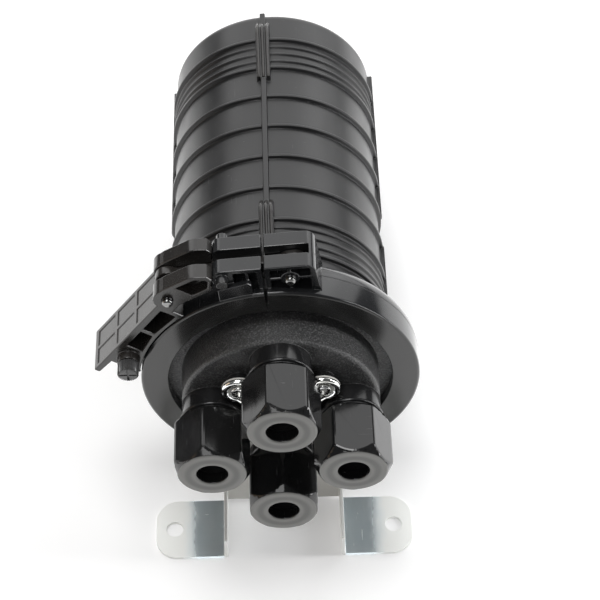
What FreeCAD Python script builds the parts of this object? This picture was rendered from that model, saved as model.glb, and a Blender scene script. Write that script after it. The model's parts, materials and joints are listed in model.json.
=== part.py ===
"""Dome-type fibre termination box: dome, base with four cable glands, lever clamp and wall bracket.

Frame: X across, Y along the dome's axis from the glands to the dome's end, Z up from the mounting plane.
The origin lies midway between the two holes of the bracket's ears, on the ears' back face.
"""
import FreeCAD, Part
import math
import os
import re
import Sketcher

Vector = FreeCAD.Vector

# Driving dimensions in millimetres and degrees: cell alias, value, meaning
SIZES = (
    ("axis_z", 98, "dome axis above the mounting plane"),
    ("face_y", 29, "base bottom face from the ear holes"),
    ("clock_angle", 5, "turn of dome and clamp on the base"),
    ("running_gap", 0.08, "radial clearance of a pin that turns"),
    ("seat_gap", 0.3, "clearance between faces of separate pieces"),
    # Dome
    ("dome_r", 66.5, "dome outer radius"),
    ("dome_wall", 3, "dome wall"),
    ("dome_len", 243, "dome from the joint plane to its end"),
    ("dome_edge", 7, "round on the dome's end"),
    ("ring_height", 2.2, "main ring above the wall"),
    ("ring_width", 2.2, "main ring along the axis"),
    ("ring_slope", 0.5, "slope of a ring's sides"),
    ("ring_pitch", 26.3, "distance between main rings"),
    ("ring_start", 31.4, "first main ring from the joint plane"),
    ("fine_height", 1.2, "fine ring above the wall"),
    ("fine_width", 1.5, "fine ring along the axis"),
    ("rib_width", 3.5, "lengthwise rib"),
    ("rib_height", 2.9, "lengthwise rib above the wall"),
    ("rib_clear", 4, "rib's end from the clamp hoop"),
    ("loop_width", 9, "tie loop across"),
    ("loop_height", 7.5, "tie loop's crest above the wall"),
    ("loop_bar", 3, "thickness of the tie loop's bar"),
    ("loop_reach", 12, "tie loop's foot before its first ring"),
    ("loop_foot", 3.4, "tie loop's foot above the wall"),
    ("loop_tail", 14, "tie loop past its second ring"),
    # Base
    ("boss_r", 60.5, "base boss radius"),
    ("boss_rise", 24, "base face to flange underside"),
    ("boss_edge", 2.5, "round on the boss"),
    ("floor_wall", 8, "base floor"),
    ("cup_wall", 4, "base side wall"),
    ("flange_r", 82, "clamped flange radius"),
    ("flange_w", 8, "thickness of each clamped flange"),
    ("spigot_gap", 0.5, "spigot inside the dome"),
    ("spigot_len", 18, "spigot length"),
    ("groove_depth", 3, "seal groove depth"),
    ("groove_width", 5, "seal groove width"),
    ("groove_rise", 7, "joint plane to the seal groove"),
    ("seal_section", 3.3, "main seal section diameter"),
    # Ports and glands
    ("port_circle_r", 42, "port centres from the axis"),
    ("collar_r", 18.5, "smooth collar of a port tube"),
    ("collar_len", 15.5, "collar below the base face"),
    ("thread_r", 17, "threaded end of a port tube"),
    ("thread_len", 25.5, "threaded length"),
    ("port_bore_r", 13, "bore of a port tube"),
    ("nut_flats", 41.5, "gland nut across flats"),
    ("nut_len", 35.6, "gland nut length"),
    ("nut_end_r", 20, "gland nut end face"),
    ("nut_end_wall", 7.6, "gland nut end wall"),
    ("nut_slope", 1.5, "steepness of the nut's end chamfer"),
    ("nut_round", 2.2, "round on the nut's end face"),
    ("nut_lip", 1.5, "round on the cable hole"),
    ("nut_corner", 2.6, "narrow face on each corner of the nut"),
    ("nut_back_slope", 0.6, "steepness of the nut's rear chamfer"),
    ("cable_r", 9.25, "cable hole radius"),
    ("thread_gap", 0.3, "nut on the port tube"),
    ("washer_w", 1.2, "slip washer thickness"),
    ("seal_len", 16, "gland seal length"),
    ("seal_lip", 1, "gland seal flange on the tube's end"),
    # Bracket
    ("sheet_w", 2, "bracket sheet"),
    ("bend_r", 1, "inside radius of the bends"),
    ("bend_round", 1.9, "outside round of the bends"),
    ("stand_off", 6, "bracket from the base face"),
    ("pad_r", 7, "screw pads on the base face"),
    ("screw_circle_r", 35.4, "bracket screws from the axis"),
    ("screw_shank_r", 2.4, "bracket screw shank"),
    ("screw_head_r", 5, "bracket screw head"),
    ("screw_head_h", 2.8, "bracket screw head height"),
    ("screw_len", 13, "bracket screw length under the head"),
    ("lobe_r", 10.5, "rounded end of a bracket lobe"),
    ("port_relief_r", 20.5, "cut-out of the bracket round a port"),
    ("web_half", 37.9, "half width of the bracket over its flanges"),
    ("web_lift", 3, "web's lower edge above the mounting plane"),
    ("web_top", 52, "mounting plane to the web's shoulders"),
    ("flange_h", 20, "side flange height"),
    ("ear_reach", 81.8, "ear tip from the middle"),
    ("ear_depth", 42, "ear along the axis"),
    ("ear_corner", 14, "round on the ear's corners"),
    ("hole_spacing", 140, "distance between the ear holes"),
    ("hole_r", 5.2, "ear hole radius"),
    # Clamp hoop
    ("hoop_wall", 2.7, "hoop wall outside the flanges"),
    ("hoop_clear", 1, "hoop's groove outside the flanges"),
    ("hoop_r", "=flange_r + hoop_clear + hoop_wall", "hoop outer radius"),
    ("lip_inner_r", 69, "lower lip inner radius"),
    ("lip_drop", 7.1, "lower lip thickness"),
    ("top_lip_r", 67.6, "upper lip inner radius"),
    ("top_edge_r", 72, "upper edge of the shoulder"),
    ("shoulder_drop", 14, "upper edge down to the straight wall"),
    ("hoop_top", 7, "upper lip above the dome flange"),
    ("hoop_edge", 1.6, "round on the hoop's lower edge"),
    ("split_gap", 0.8, "half of the gap between the hoop halves"),
    # Latch blocks on the hoop
    ("fulcrum_u", 24, "fulcrum left of the split"),
    ("fulcrum_rise", 11.8, "fulcrum outside the hoop"),
    ("fulcrum_w", "=hoop_r + fulcrum_rise", "fulcrum from the axis, along the split"),
    ("block_top", 6, "front face of the blocks outside the fulcrum"),
    ("block_front", "=fulcrum_w + block_top", "front face of the blocks from the axis"),
    ("block_reach", 30, "right block from the split"),
    ("block_corner", 5.8, "round on the blocks' outer corners"),
    ("block_flat", 0.3, "narrow flat left on the left block's round end"),
    ("rail_low", 21, "lower rail's underside above the base face"),
    ("rail_slot_low", 31, "slot's lower face above the base face"),
    ("rail_slot_high", 37.6, "slot's upper face above the base face"),
    ("rail_high", 47.5, "upper rail's top above the base face"),
    ("slot_sink", 1.1, "floor of the slot under the hoop's surface"),
    ("slot_floor", "=hoop_r - slot_sink", "floor of the slot from the axis"),
    ("block_wall", 3, "walls of the blocks' undersides"),
    ("block_hollow", 8, "depth of the hollow under the blocks"),
    ("block_rib", 2, "rib in the hollow"),
    ("stub_r", 3.5, "fulcrum stub radius"),
    ("stub_len", 5.6, "fulcrum stub length"),
    ("toe_w", 3.4, "toe plate before the lower rail"),
    ("toe_end", 7.4, "toe plate's right end from the split"),
    ("toe_rise", 9.5, "toe plate's right end outside the hoop"),
    ("toe_fall", 0.9, "toe plate's left end under the block"),
    ("pin_u", 15.2, "link pin right of the split"),
    ("pin_rise", 7.3, "link pin outside the hoop"),
    ("pin_w", "=hoop_r + pin_rise", "link pin from the axis, along the split"),
    ("pin_r", 2.5, "link pin radius"),
    ("pin_head_r", 3.3, "head of a latch pin"),
    ("pin_head_h", 1.8, "head height of a latch pin"),
    ("pin_edge", 0.2, "straight edge left on a latch pin's head"),
    ("pin_boss_r", 5.6, "boss round the link pin"),
    # Clamp hinge
    ("hinge_rise", 3.3, "clamp hinge outside the hoop"),
    ("hinge_w", "=hoop_r + hinge_rise", "clamp hinge from the axis"),
    ("knuckle_r", 6, "clamp hinge knuckle"),
    ("knuckle_fall", 5.4, "knuckle's web past the hinge axis"),
    ("knuckle_reach", 12, "knuckle's web along the hoop"),
    ("knuckle_low", 18, "lowest knuckle above the base face"),
    ("knuckle_len", 9, "length of one knuckle"),
    ("hinge_pin_r", 2.5, "clamp hinge pin"),
    # Lever
    ("lever_angle", 50.5, "handle's face from the split"),
    ("lever_low", 17, "lever's underside above the base face"),
    ("lever_high", 47, "lever's top above the base face"),
    ("lever_top_wall", 2, "lever's top wall"),
    ("handle_rise", 16.2, "handle's outer face outside the hoop"),
    ("handle_face", "=hoop_r + handle_rise", "handle's outer face from the axis"),
    ("handle_wall", 4.5, "handle's outer wall"),
    ("handle_clear", 0.7, "handle's inner face outside the hoop"),
    ("handle_inner_r", "=hoop_r + handle_clear", "handle's inner face, round the axis"),
    ("handle_rail", 3, "handle's inner rail"),
    ("handle_sunk", 9, "handle's box inside its inner face, before that is cut"),
    ("handle_tip", 51.5, "handle's tip from its square"),
    ("handle_end", 38.5, "end of the handle's box from its square"),
    ("handle_root", 22.5, "handle's root from its square"),
    ("cross_rib_x", -2.7, "cross rib from the square"),
    ("cross_rib", 2.5, "cross rib thickness"),
    ("window_depth", 1.4, "depth of the handle's windows"),
    ("window_edge", 3, "edge round the windows"),
    ("window_rib", 4, "ribs between the handle's windows"),
    ("lever_pin_x", 30.5, "lever pin along the handle"),
    ("lever_pin_rise", 13.8, "lever pin outside the hoop"),
    ("lever_pin_z", "=hoop_r + lever_pin_rise", "lever pin from the axis"),
    ("lever_pin_r", 3, "lever pin radius"),
    ("fork_r", 8.5, "round end of the fork"),
    ("shoulder_x", 6.6, "fork's shoulder past the lever pin"),
    ("shoulder_z", 7, "fork's shoulder outside the lever pin"),
    ("fork_low", 27.5, "lower arm's upper face above the base face"),
    ("fork_high", 37.5, "upper arm's lower face above the base face"),
    ("cup_r", "=block_corner + 2 * seat_gap", "nose's cup round the block's end"),
    ("crest_back", 4.6, "lever's crest behind the fulcrum"),
    ("crest_rise", 18.2, "lever's crest outside the fulcrum"),
    ("crest_round", 12, "round on the lever's crest"),
    ("nose_wall", 3, "wall of the hollow nose"),
    ("nose_rise", 10.9, "nose outside the fulcrum"),
    ("nose_reach", 0.3, "nose past the fulcrum"),
    ("cup_start", 8, "start of the nose's cup, turned back from square to the handle"),
    ("cup_end", 55, "end of the nose's cup, turned back from square to the handle"),
    ("heel_back", 8.2, "nose's heel behind the fulcrum"),
    ("heel_rise", 1.9, "nose's heel outside the fulcrum"),
    ("tip_wall", 3.6, "handle's tip"),
    # Link
    ("link_half", 4.5, "half width of the link"),
    ("link_eye_r", 7.4, "eye round the lever pin"),
    ("link_end_r", 6.4, "end round the link pin"),
    ("link_gap", 0.4, "link inside the slot"),
    ("slot_ahead", 3.2, "play of the link pin away from the lever"),
    ("slot_side", 1, "play of the link pin across the link"),
    # Lock screw
    ("lock_x", 29.55, "lock screw along the handle"),
    ("lock_rise", 5, "lock screw outside the hoop"),
    ("lock_z", "=hoop_r + lock_rise", "lock screw from the axis"),
    ("lock_boss_r", 6.8, "boss round the lock screw"),
    ("lock_boss_low", 12, "boss's lower end above the base face"),
    ("lock_boss_high", 25, "boss's upper end above the base face"),
    ("lock_head_r", 6.5, "lock screw head"),
    ("lock_head_h", 8, "lock screw head height"),
    ("lock_shank_r", 3, "lock screw shank"),
    ("lock_tip", 35, "lock screw tip above the base face"),
    ("lock_slot_w", 1.3, "cross slot in the head"),
    ("lock_slot_d", 1.5, "depth of the cross slot"),
    ("lug_low", 27, "lug's lower face above the base face"),
    ("lug_w", 5, "lug thickness"),
    ("lug_half", 8, "half width of the lug"),
    ("lug_rise", 6.1, "lug's front outside the hoop"),
    ("lug_front", "=hoop_r + lug_rise", "lug's front from the axis"),
    ("lug_play", 1.5, "room round the lug inside the handle"),
    ("lug_notch", 4.2, "half width of the lug's notch"),
    ("knurl_depth", 0.6, "knurl on the head"),
    # Splice trays and their frame
    ("tray_half", 38, "half width of a tray"),
    ("tray_play", 1, "trays inside the frame's edges"),
    ("frame_w", 3, "tray frame plate"),
    ("frame_half", "=tray_half + tray_play + frame_w", "half width of the tray frame"),
    ("frame_drop", 14, "tray frame's underside below the axis"),
    ("frame_start", 33, "tray frame plate above the base face"),
    ("frame_len", 222, "tray frame plate along the axis"),
    ("frame_edge", 6, "turned-up edge of the tray frame"),
    ("leg_half", 5, "half width of a frame leg"),
    ("leg_x", 20, "frame legs from the middle"),
    ("foot_depth", 14, "foot of a frame leg"),
    ("post_x", 16, "tray hinge posts from the middle"),
    ("post_len", 10, "tray hinge post along the axis"),
    ("post_over", 2, "tray hinge post past its last axle"),
    ("tray_start", 48, "trays above the base face"),
    ("tray_len", 185, "tray length"),
    ("tray_deep", 8, "tray height"),
    ("tray_floor", 1.5, "tray floor"),
    ("tray_wall", 1.6, "tray wall"),
    ("tray_corner", 18, "tray corner"),
    ("corner_thin", 1, "inner corner of a tray inside its outer corner"),
    ("drum_y", 54.4, "winding drums from the tray's middle"),
    ("ridge_step", 4, "distance between the ridges of the splice holder"),
    ("tray_step", 9, "distance between trays"),
    ("tray_base", 7, "lowest tray below the axis"),
    ("axle_r", 2, "tray hinge axle"),
    ("axle_y", 38, "tray hinge axles above the base face"),
    ("arm_w", 6, "tray hinge arm"),
    ("cover_w", 1.5, "tray cover"),
    ("strap_w", 1.2, "tray strap thickness"),
    ("strap_len", 15, "tray strap width"),
    ("strap_y", 150, "tray strap above the base face"),
    ("frame_screw_r", 1.8, "frame screw shank"),
    ("frame_screw_rest", 2.7, "base floor left under a frame screw"),
    ("frame_head_r", 3.6, "frame screw head"),
    ("frame_head_h", 2.4, "frame screw head height"),
    ("clamp_circle_r", 47, "strength clamps from the axis"),
    ("clamp_half", 4, "half width of a strength clamp"),
    ("clamp_foot", 8, "foot of a strength clamp"),
    ("clamp_sheet", 1.5, "strength clamp sheet"),
    ("clamp_tall", 15, "strength clamp height"),
    ("clamp_screw_r", 1.7, "strength clamp screw"),
    ("clamp_head_r", 3.2, "strength clamp screw head"),
    ("clamp_screw_len", 7, "strength clamp screw under its head"),
)
ALIASES = {name for name, value, meaning in SIZES}

# Counts and turns that no length drives
RING_COUNT = 8
FINE_COUNT = 3
SIDES = 4
LOOP_SIDES = 2
RING_BEFORE_LABEL = 2
TRAY_COUNT = 3
KNURL_COUNT = 20
WINDOW_COLUMNS = 3
WINDOW_ROWS = 2
KNUCKLE_COUNT = 3
RIDGE_COUNT = 3
# Size of a sketch's shapes, or turn of a body, before its expressions hold
DRAFT = 10.0
# Port name: direction across and up, and how far the nut is turned clockwise from flats up
PORTS = {"top": (0, 1, 10), "left": (-1, 0, 18), "right": (1, 0, 0), "bottom": (0, -1, 30)}

# Stations along the axis, as expressions
FLANGE_Y = "face_y + boss_rise"
JOINT_Y = f"{FLANGE_Y} + flange_w"
DOME_END = f"{JOINT_Y} + dome_len"
INNER_R = "dome_r - dome_wall"
SPIGOT_R = f"{INNER_R} - spigot_gap"
FLOOR_Y = "face_y + floor_wall"
COLLAR_END = "face_y - collar_len"
TUBE_END = f"{COLLAR_END} - thread_len"
NUT_BACK = f"{COLLAR_END} - seat_gap"
NUT_END = f"{NUT_BACK} - nut_len"
RING_Y = f"{JOINT_Y} + ring_start"
HOOP_LOW = f"{FLANGE_Y} - seat_gap - lip_drop"
HOOP_LIP = f"{FLANGE_Y} - seat_gap"
HOOP_SEAT = f"{JOINT_Y} + flange_w + seat_gap"
HOOP_TOP = f"{JOINT_Y} + flange_w + hoop_top"
WEB_BACK = "face_y - stand_off"
WEB_FRONT = f"{WEB_BACK} - sheet_w"
CLAMP_SCREW_END = f"{FLOOR_Y} + clamp_sheet - clamp_screw_len"
FRAME_SCREW_END = "face_y + frame_screw_rest"
FOOT_Z = "-frame_drop + (foot_depth + frame_w) / 2"
LEVER_TURN = "clock_angle + lever_angle"
# Height of the ribs in the blocks' hollows: from inside the floor to inside the front wall
RIB_SPAN = ("slot_floor - block_wall", "block_front - block_wall / 2")
# Fulcrum in the lever's own frame: along the handle and out from the axis
FULCRUM_X = "fulcrum_w * sin(lever_angle) - fulcrum_u * cos(lever_angle)"
FULCRUM_Z = "fulcrum_w * cos(lever_angle) + fulcrum_u * sin(lever_angle)"
CREST = (f"{FULCRUM_X} - crest_back", f"{FULCRUM_Z} + crest_rise")

doc = FreeCAD.newDocument("fibre_termination_box")
sheet = doc.addObject("Spreadsheet::Sheet", "Sizes")
for row, (alias, number, meaning) in enumerate(SIZES, start=1):
    sheet.set(f"A{row}", meaning)
    sheet.set(f"B{row}", str(number))
    sheet.setAlias(f"B{row}", alias)
doc.recompute()

PIECES = []


def size(alias):
    """The number in a cell of the sheet."""
    return float(sheet.get(alias))


def bound(text):
    """An expression with the sheet's cells in place of their plain names."""
    def cell(word):
        return f"Sizes.{word.group()}" if word.group() in ALIASES else word.group()

    return re.sub(r"[a-z][a-z_0-9]*", cell, text)


def bind(thing, **expressions):
    """Ties properties to the sheet, with a double underscore for a dot in a property's path."""
    for path, text in expressions.items():
        thing.setExpression(path.replace("__", "."), bound(text))


def new_body(label, x="0", z="axis_z", turn=None, way=-1, several=False):
    """A body on an axis along Y at x, z, turned about that axis."""
    body = doc.addObject("PartDesign::Body", label)
    body.Label = label
    body.AllowCompound = several
    body.Placement = FreeCAD.Placement(Vector(), FreeCAD.Rotation(Vector(0, way, 0), DRAFT if turn else 0))
    bind(body, Placement__Base__x=x, Placement__Base__z=z)
    if turn:
        bind(body, Placement__Rotation__Angle=turn)
    PIECES.append(body)
    return body


def origin(body, role):
    """One of a body's own planes or axes."""
    return next(item for item in body.Origin.OriginFeatures if item.Role == role)


def new_sketch(body, plane, lift=None):
    """An empty sketch on one of the body's planes, lifted along the plane's normal."""
    sketch = body.newObject("Sketcher::SketchObject", "Sketch")
    sketch.AttachmentSupport = [(origin(body, plane), "")]
    sketch.MapMode = "FlatFace"
    if lift:
        bind(sketch, AttachmentOffset__Base__z=lift)
    return sketch


def fix_point(sketch, shape, point, across, up):
    """Holds a point of a sketch at two expressions from the sketch's origin."""
    place = sketch.getPoint(shape, point)
    for kind, axis, text, start in (("DistanceX", -2, across, place.x), ("DistanceY", -1, up, place.y)):
        if text == "0":
            sketch.addConstraint(Sketcher.Constraint("PointOnObject", shape, point, axis))
        else:
            rule = sketch.addConstraint(Sketcher.Constraint(kind, -1, 1, shape, point, start))
            sketch.setExpression(f"Constraints[{rule}]", bound(text))


def draw_outline(sketch, corners):
    """A closed outline through corners that are pairs of expressions."""
    first = sketch.GeometryCount
    count = len(corners)
    ring = [Vector(DRAFT * math.cos(step), DRAFT * math.sin(step), 0)
            for step in (2 * math.pi * place / count for place in range(count))]
    for place in range(count):
        sketch.addGeometry(Part.LineSegment(ring[place], ring[(place + 1) % count]))
    for place in range(count):
        following = first + (place + 1) % count
        sketch.addConstraint(Sketcher.Constraint("Coincident", first + place, 2, following, 1))
    for place, (across, up) in enumerate(corners):
        fix_point(sketch, first + place, 1, across, up)


def draw_circle(sketch, across, up, radius):
    """A circle whose centre and radius are expressions."""
    shape = sketch.addGeometry(Part.Circle(Vector(DRAFT, DRAFT, 0), Vector(0, 0, 1), DRAFT))
    fix_point(sketch, shape, 3, across, up)
    rule = sketch.addConstraint(Sketcher.Constraint("Radius", shape, DRAFT))
    sketch.setExpression(f"Constraints[{rule}]", bound(radius))


def feature(body, kind, sketch):
    """A sketch-based feature of the body, made from one sketch."""
    made = body.newObject(f"PartDesign::{kind}", kind)
    made.Profile = sketch
    sketch.Visibility = False
    return made


def box_outline(left, right, low, high):
    """The four corners of a rectangle."""
    return [(left, low), (right, low), (right, high), (left, high)]


def slab(body, low, high, outlines=(), circles=(), cut=False):
    """Material between two stations along Y, added or cut, from outlines and circles in X and Z."""
    sketch = new_sketch(body, "XZ_Plane", f"-({low})")
    for corners in outlines:
        draw_outline(sketch, corners)
    for circle in circles:
        draw_circle(sketch, *circle)
    made = feature(body, "Pocket" if cut else "Pad", sketch)
    made.Reversed = not cut
    bind(made, Length=f"({high}) - ({low})")
    return made


def across_slab(body, half, outlines=(), circles=(), cut=False):
    """Material of a half width to each side of the YZ plane, from shapes in Y and Z."""
    sketch = new_sketch(body, "YZ_Plane")
    for corners in outlines:
        draw_outline(sketch, corners)
    for circle in circles:
        draw_circle(sketch, *circle)
    made = feature(body, "Pocket" if cut else "Pad", sketch)
    made.Midplane = True
    bind(made, Length=f"2 * ({half})")
    return made


def turned(body, corners, cut=False):
    """A full turn about the body's Y axis of an outline in radius and Y."""
    sketch = new_sketch(body, "XY_Plane")
    draw_outline(sketch, corners)
    made = feature(body, "Groove" if cut else "Revolution", sketch)
    made.ReferenceAxis = (sketch, ["V_Axis"])
    made.Angle = 360
    return made


def around(body, originals, count):
    """Copies of features round the body's Y axis."""
    made = body.newObject("PartDesign::PolarPattern", "PolarPattern")
    made.Originals = originals
    made.Axis = (origin(body, "Y_Axis"), [""])
    made.Angle = 360
    made.Occurrences = count
    body.Tip = made
    return made


def along(body, originals, length, count):
    """Copies of features along the body's Y axis, over a total length."""
    made = body.newObject("PartDesign::LinearPattern", "LinearPattern")
    made.Originals = originals
    made.Direction = (origin(body, "Y_Axis"), [""])
    made.Occurrences = count
    bind(made, Length=length)
    body.Tip = made
    return made


def rounded(body, radius, chosen):
    """Rounds the edges of the body for which chosen is true."""
    doc.recompute()
    base = body.Tip
    edges = [f"Edge{place}" for place, edge in enumerate(base.Shape.Edges, start=1) if chosen(edge)]
    made = body.newObject("PartDesign::Fillet", "Fillet")
    made.Base = (base, edges)
    bind(made, Radius=radius)
    return made


def near(value, target, room=0.01):
    """Whether two lengths are the same."""
    return abs(value - target) < room


def is_circle(edge, radius, y):
    """Whether an edge is a circle of a radius about the Y axis at a station, in the body's own frame."""
    curve = edge.Curve
    if not isinstance(curve, Part.Circle):
        return False
    on_axis = near(math.hypot(curve.Center.x, curve.Center.z), 0)
    return on_axis and near(curve.Radius, radius) and near(curve.Center.y, y)


def is_upright(edge, x, z):
    """Whether an edge is a straight line along Y through a point in X and Z."""
    first, last = edge.Vertexes[0].Point, edge.Vertexes[-1].Point
    straight = isinstance(edge.Curve, Part.Line) and not near(first.y, last.y)
    return straight and all(near(end.x, x) and near(end.z, z) for end in (first, last))


def build_dome():
    """Moulded dome: flange, thin wall, rings all along, four ribs, tie loops on the top and bottom ribs."""
    body = new_body("dome", turn="clock_angle")
    flange_top = f"{JOINT_Y} + flange_w"
    turned(body, [
        (INNER_R, JOINT_Y), ("flange_r", JOINT_Y), ("flange_r", flange_top), ("dome_r", flange_top),
        ("dome_r", DOME_END), ("0", DOME_END), ("0", f"{DOME_END} - dome_wall"),
        (INNER_R, f"{DOME_END} - dome_wall")])
    joint_y = size("face_y") + size("boss_rise") + size("flange_w")
    end_y = joint_y + size("dome_len")
    rounded(body, "dome_edge", lambda edge: is_circle(edge, size("dome_r"), end_y))
    rounded(body, "dome_edge - dome_wall", lambda edge: is_circle(
        edge, size("dome_r") - size("dome_wall"), end_y - size("dome_wall")))

    def ring(y, width, height):
        root, crest = "dome_r - ring_slope", f"dome_r + {height}"
        low, high = f"{y} - {width} / 2", f"{y} + {width} / 2"
        return turned(body, [
            (root, f"{low} - ring_slope"), (crest, low), (crest, high), (root, f"{high} + ring_slope")])

    main = ring(RING_Y, "ring_width", "ring_height")
    along(body, [main], f"ring_pitch * {RING_COUNT - 1}", RING_COUNT)
    step = f"ring_pitch / {FINE_COUNT + 1}"
    last_bay = f"{RING_Y} + ring_pitch * {RING_COUNT - 2}"
    low = ring(f"{RING_Y} + {step}", "fine_width", "fine_height")
    high = ring(f"{last_bay} + {step}", "fine_width", "fine_height")
    along(body, [low, high], f"{step} * {FINE_COUNT - 1}", FINE_COUNT)

    sunk = "dome_r - dome_wall / 2"
    half = "rib_width / 2"
    rib_top = "dome_r + rib_height"

    def rib(start, end):
        return slab(body, start, end, outlines=[box_outline(f"-{half}", half, sunk, rib_top)])

    label_start = f"{RING_Y} + ring_pitch * {RING_BEFORE_LABEL}"
    label_end = f"{label_start} + ring_pitch"
    rib_low, rib_high = f"{HOOP_TOP} + rib_clear", f"{DOME_END} - dome_edge / 2"
    around(body, [rib(rib_low, label_start), rib(label_end, rib_high)], SIDES)

    def loop(y):
        next_ring = f"{y} + ring_pitch"
        start, end = f"{y} - loop_reach", f"{next_ring} + loop_tail"
        foot, crest = "dome_r + loop_foot", "dome_r + loop_height"
        mouth = f"{y} + loop_bar * 2"
        back = f"{next_ring} + loop_bar"
        return across_slab(body, "loop_width / 2", outlines=[[
            (start, sunk), (f"{start} + loop_foot / 2", foot), (y, foot),
            (f"{next_ring} + loop_bar / 2", crest), (f"{back} + loop_bar", crest), (end, rib_top),
            (end, sunk), (back, sunk), (back, f"{crest} - loop_bar"), (mouth, "dome_r + fine_height"),
            (mouth, sunk)]])

    around(body, [rib(label_start, label_end), loop(RING_Y), loop(last_bay)], LOOP_SIDES)


def build_base():
    """Moulded base: grained boss, clamped flange, spigot with a seal groove, four port tubes, screw pads."""
    body = new_body("base")
    spigot_top = f"{JOINT_Y} + spigot_len"
    cup_r = "boss_r - cup_wall"
    turned(body, [
        ("0", "face_y"), ("boss_r", "face_y"), ("boss_r", FLANGE_Y), ("flange_r", FLANGE_Y),
        ("flange_r", JOINT_Y), (SPIGOT_R, JOINT_Y), (SPIGOT_R, spigot_top), (cup_r, spigot_top),
        (cup_r, FLOOR_Y), ("0", FLOOR_Y)])
    rounded(body, "boss_edge", lambda edge: is_circle(edge, size("boss_r"), size("face_y")))
    groove_low = f"{JOINT_Y} + groove_rise"
    groove_in, groove_out = f"{SPIGOT_R} - groove_depth", f"{SPIGOT_R} + groove_depth"
    turned(body, box_outline(groove_in, groove_out, groove_low, f"{groove_low} + groove_width"), cut=True)
    inside = "face_y + floor_wall / 2"
    collar = slab(body, COLLAR_END, inside, circles=[("0", "port_circle_r", "collar_r")])
    thread = slab(body, TUBE_END, COLLAR_END, circles=[("0", "port_circle_r", "thread_r")])
    pad_place = "screw_circle_r * cos(45)"
    pad = slab(body, WEB_BACK, inside, circles=[(pad_place, pad_place, "pad_r")])
    around(body, [collar, thread, pad], SIDES)
    bore = slab(body, TUBE_END, FLOOR_Y, circles=[("0", "port_circle_r", "port_bore_r")], cut=True)
    screw_end = f"{WEB_FRONT} + screw_len + seat_gap"
    hole = slab(body, WEB_BACK, screw_end, circles=[
        (pad_place, pad_place, "screw_shank_r + running_gap")], cut=True)
    clamp_place = "(clamp_circle_r + clamp_sheet / 2) * cos(45)"
    clamp_hole = slab(body, f"{CLAMP_SCREW_END} - seat_gap", FLOOR_Y, circles=[
        (clamp_place, clamp_place, "clamp_screw_r + running_gap")], cut=True)
    around(body, [bore, hole, clamp_hole], SIDES)
    hole_r = "frame_screw_r + running_gap"
    slab(body, f"{FRAME_SCREW_END} - seat_gap", FLOOR_Y, circles=[
        ("-leg_x", FOOT_Z, hole_r), ("leg_x", FOOT_Z, hole_r)], cut=True)


def build_seal_ring():
    """Round rubber ring in the spigot's groove."""
    ring = doc.addObject("Part::Torus", "seal_ring")
    ring.Label = "seal_ring"
    ring.Placement = FreeCAD.Placement(Vector(), FreeCAD.Rotation(Vector(1, 0, 0), 90))
    gap = "running_gap"
    bind(ring, Radius1=f"{SPIGOT_R} - groove_depth + {gap} + seal_section / 2", Radius2="seal_section / 2",
         Placement__Base__y=f"{JOINT_Y} + groove_rise + groove_width / 2", Placement__Base__z="axis_z")
    PIECES.append(ring)


def port_place(name):
    """Where a port's axis lies."""
    across, up, turn = PORTS[name]
    return f"{across} * port_circle_r", f"axis_z + {up} * port_circle_r"


def build_gland(name):
    """Hexagonal gland nut with a chamfered end, the slip washer under it and the rubber seal in the tube."""
    x, z = port_place(name)
    nut = new_body(f"gland_nut_{name}", x, z, turn=str(PORTS[name][2]), way=1)
    half = "nut_flats / 2"
    flat_half = "(nut_flats - nut_corner) / sqrt(12)"
    outline = []
    for turn in range(0, 360, 60):
        for side in ("", "-"):
            along_flat = f"({side}{flat_half})"
            outline.append((f"{half} * sin({turn}) - {along_flat} * cos({turn})",
                            f"{half} * cos({turn}) + {along_flat} * sin({turn})"))
    slab(nut, NUT_END, NUT_BACK, outlines=[outline])
    spare = "nut_end_r / 2"
    turned(nut, [("nut_end_r", NUT_END), (f"nut_end_r + {spare}", NUT_END),
                 (f"nut_end_r + {spare}", f"{NUT_END} + {spare} * nut_slope")], cut=True)
    turned(nut, [(half, NUT_BACK), (f"{half} + {spare}", NUT_BACK),
                 (f"{half} + {spare}", f"{NUT_BACK} - {spare} * nut_back_slope")], cut=True)
    socket_end = f"{NUT_END} + nut_end_wall"
    slab(nut, socket_end, NUT_BACK, circles=[("0", "0", "thread_r + thread_gap")], cut=True)
    slab(nut, NUT_END, socket_end, circles=[("0", "0", "cable_r")], cut=True)
    edge_y = size("face_y") - size("collar_len") - size("seat_gap") - size("nut_len")
    rounded(nut, "nut_lip", lambda edge: is_circle(edge, size("cable_r"), edge_y))
    rounded(nut, "nut_round", lambda edge: is_circle(edge, size("nut_end_r"), edge_y))

    washer_low = f"{socket_end} + seat_gap"
    washer = new_body(f"gland_washer_{name}", x, z)
    inside_nut = "thread_r - seat_gap"
    turned(washer, box_outline("cable_r", inside_nut, washer_low, f"{washer_low} + washer_w"))
    seal = new_body(f"gland_seal_{name}", x, z)
    bore = "port_bore_r - running_gap"
    lip_low = f"{TUBE_END} - seal_lip"
    turned(seal, [
        ("cable_r", lip_low), (inside_nut, lip_low), (inside_nut, TUBE_END), (bore, TUBE_END),
        (bore, f"{TUBE_END} + seal_len"), ("cable_r", f"{TUBE_END} + seal_len")])


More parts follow.
